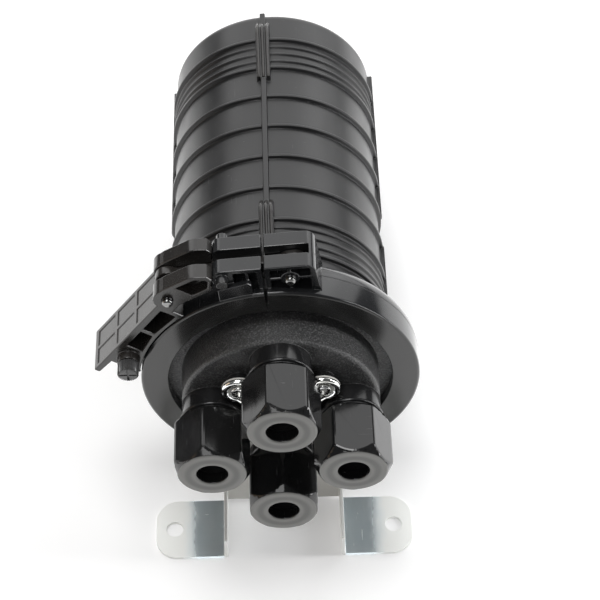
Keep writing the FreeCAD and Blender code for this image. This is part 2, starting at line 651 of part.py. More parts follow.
def build_bracket():
    """Bent zinc-plated sheet: a web with four lobes between the ports, two side flanges and two ears."""
    body = new_body("mount_bracket")
    ground = "-axis_z"
    inner = "web_half - sheet_w"
    lobe = "screw_circle_r * cos(45)"
    tip = "lobe_r * cos(45)"
    slab(body, WEB_FRONT, WEB_BACK, outlines=[[
        ("-web_half", f"{ground} + web_lift"), ("web_half", f"{ground} + web_lift"),
        ("web_half", f"{ground} + flange_h"), (inner, f"{ground} + flange_h"), (inner, f"{ground} + web_top"),
        (f"{lobe} + {tip}", f"-{lobe} + {tip}"), (f"{lobe} + {tip}", f"{lobe} - {tip}"),
        (f"{lobe} - {tip}", f"{lobe} + {tip}"), (f"-{lobe} + {tip}", f"{lobe} + {tip}"),
        (f"-{lobe} - {tip}", f"{lobe} - {tip}"), (f"-{lobe} - {tip}", f"-{lobe} + {tip}"),
        (f"-({inner})", f"{ground} + web_top"), (f"-({inner})", f"{ground} + flange_h"),
        ("-web_half", f"{ground} + flange_h")]])
    slab(body, WEB_FRONT, WEB_BACK, circles=[(lobe, lobe, "lobe_r"), (f"-({lobe})", lobe, "lobe_r")])
    slab(body, WEB_FRONT, WEB_BACK, circles=[
        ("0", "port_circle_r", "port_relief_r"), ("0", "-port_circle_r", "port_relief_r"),
        ("port_circle_r", "0", "port_relief_r"), ("-port_circle_r", "0", "port_relief_r")], cut=True)
    slab(body, WEB_FRONT, WEB_BACK, circles=[
        (f"{side[0]} * ({lobe})", f"{side[1]} * ({lobe})", "screw_shank_r + seat_gap")
        for side in ((1, 1), (-1, 1), (-1, -1), (1, -1))], cut=True)
    ear_front = "-ear_depth / 2"
    for side in ("", "-"):
        slab(body, ear_front, WEB_FRONT, outlines=[
            box_outline(f"{side}({inner})", f"{side}web_half", ground, f"{ground} + flange_h")])
        slab(body, ear_front, "ear_depth / 2", outlines=[
            box_outline(f"{side}({inner})", f"{side}ear_reach", ground, f"{ground} + sheet_w")])
    sketch = new_sketch(body, "XY_Plane", ground)
    for side in ("", "-"):
        draw_circle(sketch, f"{side}hole_spacing / 2", "0", "hole_r")
    holes = feature(body, "Pocket", sketch)
    holes.Reversed = True
    bind(holes, Length="sheet_w")

    def ear_corner(edge):
        ends = [end.Point for end in edge.Vertexes]
        tall = len(ends) == 2 and near(ends[0].x, ends[1].x) and near(ends[0].y, ends[1].y)
        return tall and near(abs(ends[0].x), size("ear_reach"))

    rounded(body, "ear_corner", ear_corner)

    def lies_at(edge, x, y=None, z=None):
        ends = [end.Point for end in edge.Vertexes]
        wanted = [(abs(end.x), x) for end in ends]
        wanted += [(end.y, y) for end in ends if y is not None]
        wanted += [(end.z, z) for end in ends if z is not None]
        return len(ends) == 2 and all(near(value, target) for value, target in wanted)

    back = size("face_y") - size("stand_off")
    flange_out = size("web_half")
    flange_in = flange_out - size("sheet_w")
    low = -size("axis_z")
    rounded(body, "bend_round", lambda edge: (
        lies_at(edge, flange_in, z=low) or lies_at(edge, flange_out, y=back)))
    rounded(body, "bend_r", lambda edge: lies_at(edge, flange_out, z=low + size("sheet_w")))


def build_bracket_screws():
    """Four pan-head screws that hold the bracket on the base's pads."""
    body = new_body("bracket_screws", several=True)
    place = "screw_circle_r * cos(45)"
    head = slab(body, f"{WEB_FRONT} - screw_head_h", WEB_FRONT, circles=[(place, place, "screw_head_r")])
    shank = slab(body, WEB_FRONT, f"{WEB_FRONT} + screw_len", circles=[(place, place, "screw_shank_r")])
    around(body, [head, shank], SIDES)


def hoop_half(label, side):
    """Half of the clamp hoop, still without its groove, split on the YZ plane."""
    body = new_body(label, turn="clock_angle")
    wall_top = f"{HOOP_TOP} - shoulder_drop"
    core = "top_lip_r - hoop_wall"
    foot = [(f"hoop_r - hoop_edge * (1 - sin({turn}))", f"{HOOP_LOW} + hoop_edge * (1 - cos({turn}))")
            for turn in (0, 45, 90)]
    overhang = "(hoop_r - top_edge_r)"
    shoulder = [(f"top_edge_r + {overhang} * cos({turn})", f"{wall_top} + shoulder_drop * sin({turn})")
                for turn in (0, 15, 30, 45, 60, 75, 90)]
    turned(body, [(core, HOOP_LOW), *foot, *shoulder, (core, HOOP_TOP)])
    far = "2 * hoop_r"
    slab(body, f"{HOOP_LOW} - flange_w", f"{HOOP_TOP} + flange_w", outlines=[[
        (f"{side}split_gap", f"-{far}"), (f"-({side}{far})", f"-{far}"), (f"-({side}{far})", far),
        (f"{side}split_gap", far)]], cut=True)
    return body


def hollow_hoop(body):
    """Cuts the inside of the hoop: the groove for the flanges between the two lips."""
    groove_r = "hoop_r - hoop_wall"
    spare = "flange_w"
    bottom, top = f"{HOOP_LOW} - {spare}", f"{HOOP_TOP} + {spare}"
    turned(body, [
        ("0", bottom), ("lip_inner_r", bottom), ("lip_inner_r", HOOP_LIP), (groove_r, HOOP_LIP),
        (groove_r, HOOP_SEAT), ("top_lip_r", HOOP_SEAT), ("top_lip_r", top), ("0", top)], cut=True)


def station(alias):
    """A height above the base face as a station along Y."""
    return f"face_y + {alias}"


def knuckles(body, side, levels, others):
    """Hinge knuckles at the hoop's bottom, with room for the other half's knuckles."""
    centre = "-hinge_w"
    room = "knuckle_r + seat_gap"

    def span(level):
        low = f"{station('knuckle_low')} + {level} * knuckle_len"
        return low, f"{low} + knuckle_len"

    for level in others:
        low, high = span(level)
        slab(body, f"{low} - seat_gap", f"{high} + seat_gap", circles=[("0", centre, room)], cut=True)
    for level in levels:
        low, high = span(level)
        low, high = f"{low} + seat_gap / 2", f"{high} - seat_gap / 2"
        slab(body, low, high, outlines=[[
            ("0", f"{centre} - knuckle_fall"), (f"{side}knuckle_reach", "-hoop_r + hoop_wall / 2"),
            (f"{side}knuckle_reach", "-hoop_r + hoop_wall"), ("0", "-hoop_r + hoop_wall")]])
        slab(body, low, high, circles=[("0", centre, "knuckle_r")])
    slab(body, f"{HOOP_LOW} - flange_w", f"{HOOP_TOP} + flange_w", circles=[
        ("0", centre, "hinge_pin_r + running_gap")], cut=True)


def build_clamp_left():
    """Left half-hoop: latch block with two rails, stubs and a toe plate, lock screw's lug, outer knuckles."""
    body = hoop_half("clamp_left", "-")
    low, high = station("rail_low"), station("rail_high")
    deep = "lip_inner_r + hoop_wall"
    end = "fulcrum_u + block_corner"
    under = "fulcrum_w - block_corner"
    slab(body, low, high, outlines=[[
        ("-split_gap", deep), ("-split_gap", "block_front"), (f"-({end})", "block_front"),
        (f"-({end})", under), ("-fulcrum_u + block_corner", f"{under} - block_corner"),
        ("-fulcrum_u", deep)]])
    corners = [(-size("fulcrum_u") - size("block_corner"), place)
               for place in (size("block_front"), size("fulcrum_w") - size("block_corner"))]
    end_round = "block_corner - block_flat"
    rounded(body, end_round, lambda edge: any(is_upright(edge, *corner) for corner in corners))
    slab(body, station("rail_slot_low"), station("rail_slot_high"), outlines=[
        box_outline(f"-({end} + block_corner)", "0", "slot_floor", "block_front + block_wall")], cut=True)
    slab(body, low, f"{low} + block_hollow", outlines=[[
        ("-split_gap - block_wall", "slot_floor"), ("-split_gap - block_wall", "block_front - block_wall"),
        ("-fulcrum_u + stub_r + block_wall", "block_front - block_wall"),
        ("-fulcrum_u + stub_r + block_wall", "slot_floor + block_wall")]], cut=True)
    middle = "(fulcrum_u - stub_r - block_wall) / 2 + split_gap"
    slab(body, low, f"{low} + block_hollow", outlines=[
        box_outline(f"-({middle} + block_rib / 2)", f"-({middle} - block_rib / 2)", *RIB_SPAN)])
    for start, stop in ((f"{low} - stub_len", low), (high, f"{high} + stub_len")):
        slab(body, start, stop, circles=[("-fulcrum_u", "fulcrum_w", "stub_r")])
    slab(body, f"{low} - toe_w", low, outlines=[[
        ("-fulcrum_u - stub_r", deep), ("-fulcrum_u - stub_r", f"{under} - toe_fall"),
        ("-toe_end - block_rib", "hoop_r + toe_rise"), ("-toe_end", "hoop_r + toe_rise - block_rib"),
        ("-toe_end", deep)]])
    lock_lug(body)
    knuckles(body, "-", (0, 2), (1,))
    hollow_hoop(body)


def lever_place(along_handle, out):
    """A point of the lever's own frame in the clamp's frame, as expressions across and up."""
    return (f"({along_handle}) * cos(lever_angle) - ({out}) * sin(lever_angle)",
            f"({along_handle}) * sin(lever_angle) + ({out}) * cos(lever_angle)")


def lock_lug(body):
    """Lug on the hoop with a notch, open outwards, that takes the lock screw's shank."""
    low = station("lug_low")
    root = "hoop_r - hoop_wall"
    left, right = "-lock_x - lug_half", "-lock_x + lug_half"
    slab(body, low, f"{low} + lug_w", outlines=[[
        lever_place(left, f"{root} - lug_half"), lever_place(right, f"{root} - lug_half / 4"),
        lever_place(right, "lug_front"), lever_place(left, "lug_front")]])
    slab(body, low, f"{low} + lug_w", circles=[(*lever_place("-lock_x", "lock_z"), "lug_notch")], cut=True)
    notch = box_outline("-lock_x - lug_notch", "-lock_x + lug_notch", "lock_z", "lug_front + lug_half")
    slab(body, low, f"{low} + lug_w", outlines=[[lever_place(*corner) for corner in notch]], cut=True)


def build_clamp_right():
    """Right half-hoop: latch block with two rails and the link pin's boss, middle knuckle."""
    body = hoop_half("clamp_right", "")
    low, high = station("rail_low"), station("rail_high")
    deep = "lip_inner_r + hoop_wall"
    slab(body, low, high, outlines=[[
        ("split_gap", deep), ("split_gap", "block_front"), ("block_reach", "block_front"),
        ("block_reach + block_wall", deep)]])
    rounded(body, "block_corner", lambda edge: is_upright(edge, size("block_reach"), size("block_front")))
    inner = "block_reach - block_wall"
    slab(body, station("rail_slot_low"), station("rail_slot_high"), outlines=[
        box_outline("0", inner, "slot_floor", "block_front + block_wall")], cut=True)
    roof = f"{low} + block_hollow"
    slab(body, low, roof, outlines=[[
        ("split_gap + block_wall", "slot_floor"), ("split_gap + block_wall", "block_front - block_wall"),
        (inner, "block_front - block_wall"), (inner, "slot_floor - block_wall")]], cut=True)
    rib_half = "block_rib / 2"
    slab(body, low, roof, circles=[("pin_u", "pin_w", "pin_boss_r")])
    slab(body, low, roof, outlines=[box_outline(f"pin_u - {rib_half}", f"pin_u + {rib_half}", *RIB_SPAN)])
    rib_left, rib_right = "split_gap + block_wall / 2", "block_reach - block_wall / 2"
    slab(body, low, roof, outlines=[
        box_outline(rib_left, rib_right, f"pin_w - {rib_half}", f"pin_w + {rib_half}")])
    slab(body, f"{low} - block_wall", f"{high} + block_wall", circles=[
        ("pin_u", "pin_w", "pin_r + running_gap")], cut=True)
    knuckles(body, "", (1,), (0, 2))
    hollow_hoop(body)


def headed_pin(label, across, up, radius, low, high, turn):
    """Steel pin with a domed head at each end."""
    body = new_body(label, turn=turn)
    slab(body, low, high, circles=[(across, up, radius)])
    for start, stop in ((f"{low} - pin_head_h", low), (high, f"{high} + pin_head_h")):
        slab(body, start, stop, circles=[(across, up, "pin_head_r")])
    doc.recompute()
    ends = (body.Shape.BoundBox.YMin, body.Shape.BoundBox.YMax)
    rounded(body, "pin_head_h - pin_edge", lambda edge: any(near(edge.CenterOfMass.y, end) for end in ends))


def build_pins():
    """Link pin, lever pin and clamp hinge pin."""
    headed_pin(
        "link_pin", "pin_u", "pin_w", "pin_r", station("rail_low"), station("rail_high"), "clock_angle")
    headed_pin(
        "lever_pin", "lever_pin_x", "lever_pin_z", "lever_pin_r", station("lever_low"), station("lever_high"),
        LEVER_TURN)
    hinge_low = station("knuckle_low")
    body = new_body("clamp_hinge_pin", turn="clock_angle")
    hinge_high = f"{hinge_low} + {KNUCKLE_COUNT} * knuckle_len"
    slab(body, hinge_low, hinge_high, circles=[("0", "-hinge_w", "hinge_pin_r")])


def build_lever():
    """Latch lever: hollow handle with two rows of windows, a fork whose hollow nose cups the block's end."""
    body = new_body("latch_lever", turn=LEVER_TURN)
    low, high = station("lever_low"), station("lever_high")
    wall_in = "handle_face - handle_wall"
    deep = "handle_inner_r - handle_sunk"
    slab(body, low, high, outlines=[[
        ("-handle_tip", "handle_face"), ("handle_root", "handle_face"), ("handle_root", deep),
        ("-handle_end", deep), ("-handle_end", wall_in), ("-handle_tip", "handle_face - tip_wall")]])
    boss_low = station("lock_boss_low")
    slab(body, boss_low, station("lock_boss_high"), circles=[("-lock_x", "lock_z", "lock_boss_r")])
    arm = [
        ("handle_root", "handle_face"), ("lever_pin_x", "lever_pin_z + fork_r"),
        ("lever_pin_x + shoulder_x", "lever_pin_z + shoulder_z"), CREST,
        (f"{FULCRUM_X} + nose_reach", f"{FULCRUM_Z} + nose_rise"),
        *[(f"{FULCRUM_X} - block_corner * sin({turn})", f"{FULCRUM_Z} + block_corner * cos({turn})")
          for turn in ("cup_start", "cup_end")],
        (f"{FULCRUM_X} - heel_back", f"{FULCRUM_Z} + heel_rise"),
        ("lever_pin_x", "lever_pin_z - fork_r"), ("handle_root", "lever_pin_z - fork_r")]
    for start, stop in ((low, station("fork_low")), (station("fork_high"), high)):
        slab(body, start, stop, outlines=[arm])
        slab(body, start, stop, circles=[("lever_pin_x", "lever_pin_z", "fork_r")])
    lean = math.radians(size("lever_angle"))
    crest_x = size("fulcrum_w") * math.sin(lean) - size("fulcrum_u") * math.cos(lean) - size("crest_back")
    crest_z = size("fulcrum_w") * math.cos(lean) + size("fulcrum_u") * math.sin(lean) + size("crest_rise")
    rounded(body, "crest_round", lambda edge: is_upright(edge, crest_x, crest_z))
    slab(body, low, high, circles=[(FULCRUM_X, FULCRUM_Z, "cup_r")], cut=True)
    lever_hollows(body, wall_in, deep)
    slab(body, low, high, circles=[("lever_pin_x", "lever_pin_z", "lever_pin_r + running_gap")], cut=True)
    slab(body, boss_low, high, circles=[("0", "0", "handle_inner_r")], cut=True)
    slab(body, boss_low, f"{station('lock_tip')} + seat_gap", circles=[
        ("-lock_x", "lock_z", "lock_shank_r + running_gap")], cut=True)


def lever_hollows(body, wall_in, deep):
    """Hollows of the lever: two bays under the handle, room for the lug, the nose and the windows."""
    low, high = station("lever_low"), station("lever_high")
    roof = f"{high} - lever_top_wall"
    rail_r = "(handle_inner_r + handle_rail)"

    def rail(x):
        return f"sqrt({rail_r}^2 - ({x})^2)"

    bay_left = "-(lock_x - lock_boss_r - handle_rail)"
    rib_left, rib_right = "cross_rib_x - cross_rib / 2", "cross_rib_x + cross_rib / 2"
    bay_right = "handle_root - handle_rail"
    for left, right in ((bay_left, rib_left), (rib_right, bay_right)):
        slab(body, low, roof, outlines=[[
            (left, rail(left)), (right, rail(right)), (right, wall_in), (left, wall_in)]], cut=True)
    lug_left, lug_right = "-handle_end - handle_rail", "-lock_x + lug_half + lug_play"
    slab(body, f"{station('lug_low')} - lug_play", roof, outlines=[
        box_outline(lug_left, lug_right, f"{deep} - handle_rail", wall_in)], cut=True)
    nose_start = "lever_pin_x + fork_r + nose_wall"
    slab(body, low, f"{low} + block_hollow", outlines=[[
        (nose_start, "lever_pin_z + nose_wall / 2"),
        (f"{CREST[0]} - nose_wall / 2", f"{CREST[1]} - nose_wall"),
        (f"{FULCRUM_X} - nose_wall", f"{FULCRUM_Z} + nose_rise - nose_wall / 2"),
        (f"{FULCRUM_X} - nose_wall", f"{FULCRUM_Z} + cup_r + nose_wall / 2"),
        (f"{FULCRUM_X} - heel_back", f"{FULCRUM_Z} + heel_rise + nose_wall"),
        (nose_start, "lever_pin_z - fork_r - nose_wall / 2")]], cut=True)
    sketch = new_sketch(body, "XY_Plane", "handle_face")
    column = f"(handle_tip + handle_root - window_rib) / {WINDOW_COLUMNS}"
    window = f"((lever_high - lever_low) - window_edge * {WINDOW_ROWS + 1}) / {WINDOW_ROWS}"
    for place in range(WINDOW_COLUMNS):
        left = f"-handle_tip + window_rib + {place} * {column}"
        right = f"{left} + {column} - window_rib"
        for row in range(WINDOW_ROWS):
            bottom = f"{low} + window_edge + {row} * ({window} + window_edge)"
            top = f"{bottom} + {window}"
            draw_outline(sketch, box_outline(left, right, bottom, top))
    windows = feature(body, "Pocket", sketch)
    bind(windows, Length="window_depth")


def build_link():
    """Latch link: flat bar from the lever pin to a slotted eye on the link pin."""
    body = new_body("latch_link", turn="clock_angle")
    low, high = f"{station('rail_slot_low')} + link_gap", f"{station('rail_slot_high')} - link_gap"
    back_u, back_w = lever_place("lever_pin_x", "lever_pin_z")
    run_u, run_w = f"(pin_u - ({back_u}))", f"(pin_w - ({back_w}))"
    length = f"sqrt({run_u}^2 + {run_w}^2)"

    def place(ahead, side):
        return (f"pin_u + (({ahead}) * {run_u} - ({side}) * {run_w}) / {length}",
                f"pin_w + (({ahead}) * {run_w} + ({side}) * {run_u}) / {length}")

    def bar(start, stop, half):
        return [place(start, f"-({half})"), place(stop, f"-({half})"), place(stop, half), place(start, half)]

    slab(body, low, high, circles=[(back_u, back_w, "link_eye_r")])
    slab(body, low, high, outlines=[bar(f"-{length}", "0", "link_half")])
    slab(body, low, high, outlines=[bar("0", "slot_ahead", "link_end_r")])
    ends = (place("0", "0"), place("slot_ahead", "0"))
    for end in ends:
        slab(body, low, high, circles=[(*end, "link_end_r")])
    slot = "pin_r + slot_side"
    slab(body, low, high, outlines=[bar("0", "slot_ahead", slot)], cut=True)
    for end in ends:
        slab(body, low, high, circles=[(*end, slot)], cut=True)
    slab(body, low, high, circles=[(back_u, back_w, "lever_pin_r + running_gap")], cut=True)


def build_lock_screw():
    """Lock screw: knurled head with a cross slot, and a shank that reaches through the lug's notch."""
    x = f"-lock_x * cos({LEVER_TURN}) - lock_z * sin({LEVER_TURN})"
    z = f"axis_z - lock_x * sin({LEVER_TURN}) + lock_z * cos({LEVER_TURN})"
    body = new_body("lock_screw", x, z, turn=LEVER_TURN)
    head_high = f"{station('lock_boss_low')} - seat_gap"
    head_low = f"{head_high} - lock_head_h"
    slab(body, head_low, head_high, circles=[("0", "0", "lock_head_r")])
    slab(body, head_high, station("lock_tip"), circles=[("0", "0", "lock_shank_r")])
    knurl = slab(body, f"{head_low} + lock_slot_d", f"{head_high} - lock_slot_d", outlines=[[
        ("0", "lock_head_r - knurl_depth"), ("knurl_depth", "lock_head_r + knurl_depth"),
        ("-knurl_depth", "lock_head_r + knurl_depth")]], cut=True)
    around(body, [knurl], KNURL_COUNT)
    half, reach = "lock_slot_w / 2", "lock_head_r + lock_slot_w"
    for wide, tall in ((half, reach), (reach, half)):
        slab(body, head_low, f"{head_low} + lock_slot_d", outlines=[
            box_outline(f"-({wide})", wide, f"-({tall})", tall)], cut=True)


def plate(body, low, high, outlines=(), circles=(), cut=False):
    """Material between two heights, added or cut, from outlines and circles in X and Y."""
    sketch = new_sketch(body, "XY_Plane", low)
    for corners in outlines:
        draw_outline(sketch, corners)
    for circle in circles:
        draw_circle(sketch, *circle)
    made = feature(body, "Pocket" if cut else "Pad", sketch)
    made.Reversed = cut
    bind(made, Length=f"({high}) - ({low})")
    return made


def tray_level(number):
    """Underside of a tray from the axis."""
    return f"-tray_base + {number - 1} * tray_step"


def tray_outline(inset, corner):
    """Outline of a tray with cut corners, moved inwards by an inset."""
    half = f"tray_half - {inset}"
    start = f"{station('tray_start')} + {inset}"
    stop = f"{station('tray_start')} + tray_len - {inset}"
    return [
        (f"-({half}) + {corner}", start), (f"{half} - {corner}", start), (half, f"{start} + {corner}"),
        (half, f"{stop} - {corner}"), (f"{half} - {corner}", stop), (f"-({half}) + {corner}", stop),
        (f"-({half})", f"{stop} - {corner}"), (f"-({half})", f"{start} + {corner}")]


def build_tray_frame():
    """Carrier of the trays: plate with turned-up edges, two legs on the base floor, two hinge posts."""
    body = new_body("tray_frame")
    under, top = "-frame_drop", "-frame_drop + frame_w"
    start = station("frame_start")
    inner = "frame_half - frame_w"
    edge_top = f"{top} + frame_edge"
    slab(body, start, f"{start} + frame_len", outlines=[[
        ("-frame_half", under), ("frame_half", under), ("frame_half", edge_top), (inner, edge_top),
        (inner, top), (f"-({inner})", top), (f"-({inner})", edge_top), ("-frame_half", edge_top)]])
    post_top = f"{tray_level(TRAY_COUNT)} + tray_deep / 2 + axle_r + post_over"
    foot_top = f"{FLOOR_Y} + frame_w"
    for side in ("", "-"):
        leg = (f"{side}(leg_x - leg_half)", f"{side}(leg_x + leg_half)")
        slab(body, FLOOR_Y, start, outlines=[box_outline(*leg, under, top)])
        slab(body, FLOOR_Y, foot_top, outlines=[box_outline(*leg, under, f"{under} + foot_depth")])
        slab(body, start, f"{start} + post_len", outlines=[
            box_outline(f"{side}post_x", f"{side}(post_x + frame_w)", under, post_top)])
    hole_r = "frame_screw_r + seat_gap"
    slab(body, FLOOR_Y, foot_top, circles=[("-leg_x", FOOT_Z, hole_r), ("leg_x", FOOT_Z, hole_r)], cut=True)
    across_slab(body, "post_x + frame_w", circles=[
        (station("axle_y"), f"{tray_level(number)} + tray_deep / 2", "axle_r + running_gap")
        for number in range(1, TRAY_COUNT + 1)], cut=True)


def build_tray(number):
    """Splice tray: floor, walls, two winding drums, a splice holder and hinge arms on an axle."""
    body = new_body(f"splice_tray_{number}")
    level = tray_level(number)
    floor = f"{level} + tray_floor"
    rim = f"{level} + tray_deep"
    plate(body, level, rim, outlines=[tray_outline("0", "tray_corner")])
    plate(body, floor, rim, outlines=[tray_outline("tray_wall", "(tray_corner - corner_thin)")], cut=True)
    middle = f"{station('tray_start')} + tray_len / 2"
    ridge_top = f"{rim} - tray_wall"
    for side in ("-", "+"):
        drum = f"{middle} {side} drum_y"
        plate(body, floor, ridge_top, circles=[
            ("0", drum, "tray_corner"), ("0", drum, "tray_corner - tray_wall")])
    ridges = [(f"{place} * ridge_step - tray_wall / 2", f"{place} * ridge_step + tray_wall / 2")
              for place in range(-RIDGE_COUNT, RIDGE_COUNT + 1)]
    plate(body, floor, ridge_top, outlines=[
        box_outline(*ridge, f"{middle} - tray_corner", f"{middle} + tray_corner") for ridge in ridges])
    arm_start = f"{station('axle_y')} - axle_r - seat_gap"
    arm_low = f"{level} + tray_floor / 2"
    for side in ("", "-"):
        slab(body, arm_start, f"{station('tray_start')} + tray_wall", outlines=[
            box_outline(f"{side}(post_x - arm_w)", f"{side}(post_x - seat_gap)", arm_low, rim)])
    across_slab(body, "post_x + frame_w", circles=[(station("axle_y"), f"{level} + tray_deep / 2", "axle_r")])


def build_tray_covers():
    """Flat cover on the highest tray, and the strap round the trays and their frame."""
    cover = new_body("tray_cover")
    cover_low = f"{tray_level(TRAY_COUNT)} + tray_deep + seat_gap"
    plate(cover, cover_low, f"{cover_low} + cover_w", outlines=[tray_outline("0", "tray_corner")])
    strap = new_body("tray_strap")
    half, under = "frame_half + seat_gap", "-frame_drop - seat_gap"
    top = f"{cover_low} + cover_w + seat_gap"
    slab(strap, station("strap_y"), f"{station('strap_y')} + strap_len", outlines=[
        box_outline(f"-({half})", half, under, top),
        box_outline(f"-({half} + strap_w)", f"{half} + strap_w", f"{under} - strap_w", f"{top} + strap_w")])


def build_inner_fixings():
    """Frame screws, strength-member clamps and their screws on the base floor."""
    screws = new_body("frame_screws", several=True)
    seat = f"{FLOOR_Y} + frame_w"
    slab(screws, seat, f"{seat} + frame_head_h", circles=[
        ("-leg_x", FOOT_Z, "frame_head_r"), ("leg_x", FOOT_Z, "frame_head_r")])
    slab(screws, FRAME_SCREW_END, seat, circles=[
        ("-leg_x", FOOT_Z, "frame_screw_r"), ("leg_x", FOOT_Z, "frame_screw_r")])
    diagonal = "45"
    clamps = new_body("strength_clamps", turn=diagonal, several=True)
    near_edge, far_edge = "clamp_circle_r - clamp_foot / 2", "clamp_circle_r + clamp_foot / 2"
    foot = slab(clamps, FLOOR_Y, f"{FLOOR_Y} + clamp_sheet", outlines=[
        box_outline(near_edge, far_edge, "-clamp_half", "clamp_half")])
    upright = slab(clamps, FLOOR_Y, f"{FLOOR_Y} + clamp_tall", outlines=[
        box_outline(near_edge, f"{near_edge} + clamp_sheet", "-clamp_half", "clamp_half")])
    hole = slab(clamps, FLOOR_Y, f"{FLOOR_Y} + clamp_sheet", circles=[
        ("clamp_circle_r + clamp_sheet / 2", "0", "clamp_screw_r + seat_gap")], cut=True)
    around(clamps, [foot, upright, hole], SIDES)
    pins = new_body("strength_screws", turn=diagonal, several=True)
    place = ("clamp_circle_r + clamp_sheet / 2", "0")
    head_low = f"{FLOOR_Y} + clamp_sheet"
    head = slab(pins, head_low, f"{head_low} + frame_head_h", circles=[(*place, "clamp_head_r")])
    shank = slab(pins, CLAMP_SCREW_END, head_low, circles=[(*place, "clamp_screw_r")])
    around(pins, [head, shank], SIDES)


def write_pieces():
    """Checks every feature and piece, then writes one file for each piece."""
    doc.recompute()
    troubles = [item.Label for item in doc.Objects if {"Invalid", "Error"} & set(item.State)]
    troubles += [piece.Label for piece in PIECES if piece.Shape.isNull() or not piece.Shape.isValid()]
    if troubles:
        raise RuntimeError("not built: " + ", ".join(troubles))
    os.makedirs("parts", exist_ok=True)
    for piece in PIECES:
        piece.Shape.exportStep(f"parts/{piece.Label}.step")


build_dome()
build_base()
build_seal_ring()
for port in PORTS:
    build_gland(port)
build_bracket()
build_bracket_screws()
build_clamp_left()
build_clamp_right()
build_pins()
build_lever()
build_link()
build_lock_screw()
build_tray_frame()
for tray in range(1, TRAY_COUNT + 1):
    build_tray(tray)
build_tray_covers()
build_inner_fixings()
write_pieces()
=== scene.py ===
# %% [markdown]
# # A dome box for fibre cables
# The object is a dome closure: a ribbed plastic dome on a round base, four screwed glands for
# cables, a hinged hoop with a lever that clamps dome and base together, and a zinc plated bracket.
# It could be modelled again by eye, but then lever, pins and nuts would no longer fit one another.
# So the measured model is loaded first and stays where it is, and each new piece and each finish is fitted
# to it.

# %% Load the measured model
import json
import math

import bmesh
import bpy
from mathutils import Matrix, Quaternion, Vector


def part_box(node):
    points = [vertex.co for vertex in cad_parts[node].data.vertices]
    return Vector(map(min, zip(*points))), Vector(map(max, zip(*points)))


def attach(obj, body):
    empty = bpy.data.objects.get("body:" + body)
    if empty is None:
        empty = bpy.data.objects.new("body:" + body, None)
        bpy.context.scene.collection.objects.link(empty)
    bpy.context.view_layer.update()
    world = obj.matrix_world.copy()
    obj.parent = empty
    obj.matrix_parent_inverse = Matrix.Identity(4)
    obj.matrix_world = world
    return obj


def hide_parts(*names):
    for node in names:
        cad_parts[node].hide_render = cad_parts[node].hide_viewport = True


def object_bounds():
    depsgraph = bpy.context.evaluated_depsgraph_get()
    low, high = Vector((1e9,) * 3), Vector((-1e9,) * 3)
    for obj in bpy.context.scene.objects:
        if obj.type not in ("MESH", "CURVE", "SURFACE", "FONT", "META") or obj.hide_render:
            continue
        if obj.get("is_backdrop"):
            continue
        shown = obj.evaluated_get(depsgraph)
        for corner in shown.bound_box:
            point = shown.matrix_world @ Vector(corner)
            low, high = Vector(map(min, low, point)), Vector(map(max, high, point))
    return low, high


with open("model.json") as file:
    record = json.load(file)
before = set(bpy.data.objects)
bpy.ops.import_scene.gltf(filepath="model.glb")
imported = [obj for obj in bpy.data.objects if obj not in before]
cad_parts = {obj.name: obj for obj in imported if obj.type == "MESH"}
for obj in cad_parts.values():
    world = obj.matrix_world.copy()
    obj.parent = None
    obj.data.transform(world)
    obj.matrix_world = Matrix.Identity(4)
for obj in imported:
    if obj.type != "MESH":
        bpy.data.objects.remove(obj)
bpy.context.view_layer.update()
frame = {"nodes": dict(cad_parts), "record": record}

MM = 0.001
nodes = frame["nodes"]
scene = bpy.context.scene

# %% [markdown]
# ## Camera
# The photograph looks down on the glands from the front, with the bracket's ears lying flat.
# A camera can be set by trial, but here turn, rise, roll, distance and lens were fitted to points
# that are easy to find in the picture, such as the gland holes and the ear holes, because that fit
# holds for the whole object at once. The small shift is the picture's own crop. The Standard view
# shows colours as they are written.

# %% Camera
LOOK_AT = Vector((0.0, 0.101, 0.098))
CAMERA_DISTANCE = 1.17463
CAMERA_TURN = math.radians(-0.1207)
CAMERA_RISE = math.radians(51.7594)
CAMERA_ROLL = math.radians(-1.3677)
LENS = 111.17
SENSOR = 36.0
CROP_SHIFT = (0.03538, 0.01663)

camera_data = bpy.data.cameras.new("photo_camera")
camera_data.lens = LENS
camera_data.sensor_width = SENSOR
camera_data.shift_x, camera_data.shift_y = CROP_SHIFT
camera = bpy.data.objects.new("photo_camera", camera_data)
scene.collection.objects.link(camera)
back = Vector((
    math.sin(CAMERA_TURN) * math.cos(CAMERA_RISE),
    -math.cos(CAMERA_TURN) * math.cos(CAMERA_RISE),
    math.sin(CAMERA_RISE)))
camera.location = LOOK_AT + back * CAMERA_DISTANCE
camera.rotation_mode = "QUATERNION"
camera.rotation_quaternion = (-back).to_track_quat("-Z", "Y") @ Quaternion((0, 0, 1), CAMERA_ROLL)
scene.camera = camera
scene.view_settings.view_transform = "Standard"
print("camera at", [round(v, 3) for v in camera.location])

# %% [markdown]
# ## Small helpers for node trees
# Every finish below is a tree of shader nodes. Trees can be wired by hand in the editor, but in a
# script each node takes several lines. These helpers make it one line: `add` makes a node and
# connects its inputs by name or number, and the others stand for nodes that come up again and again.

# %% Helpers that add nodes
def add(tree, kind, feeds=None, **settings):
    """Adds a shader node, applies its settings, and links or sets the inputs in feeds."""
    made = tree.nodes.new("ShaderNode" + kind)
    for key, value in settings.items():
        setattr(made, key, value)
    for key, value in (feeds or {}).items():
        if isinstance(value, bpy.types.NodeSocket):
            tree.links.new(value, made.inputs[key])
        else:
            made.inputs[key].default_value = value
    return made


def math_of(tree, operation, first, second=0.0, clamp=False):
    return add(tree, "Math", {0: first, 1: second}, operation=operation, use_clamp=clamp).outputs[0]


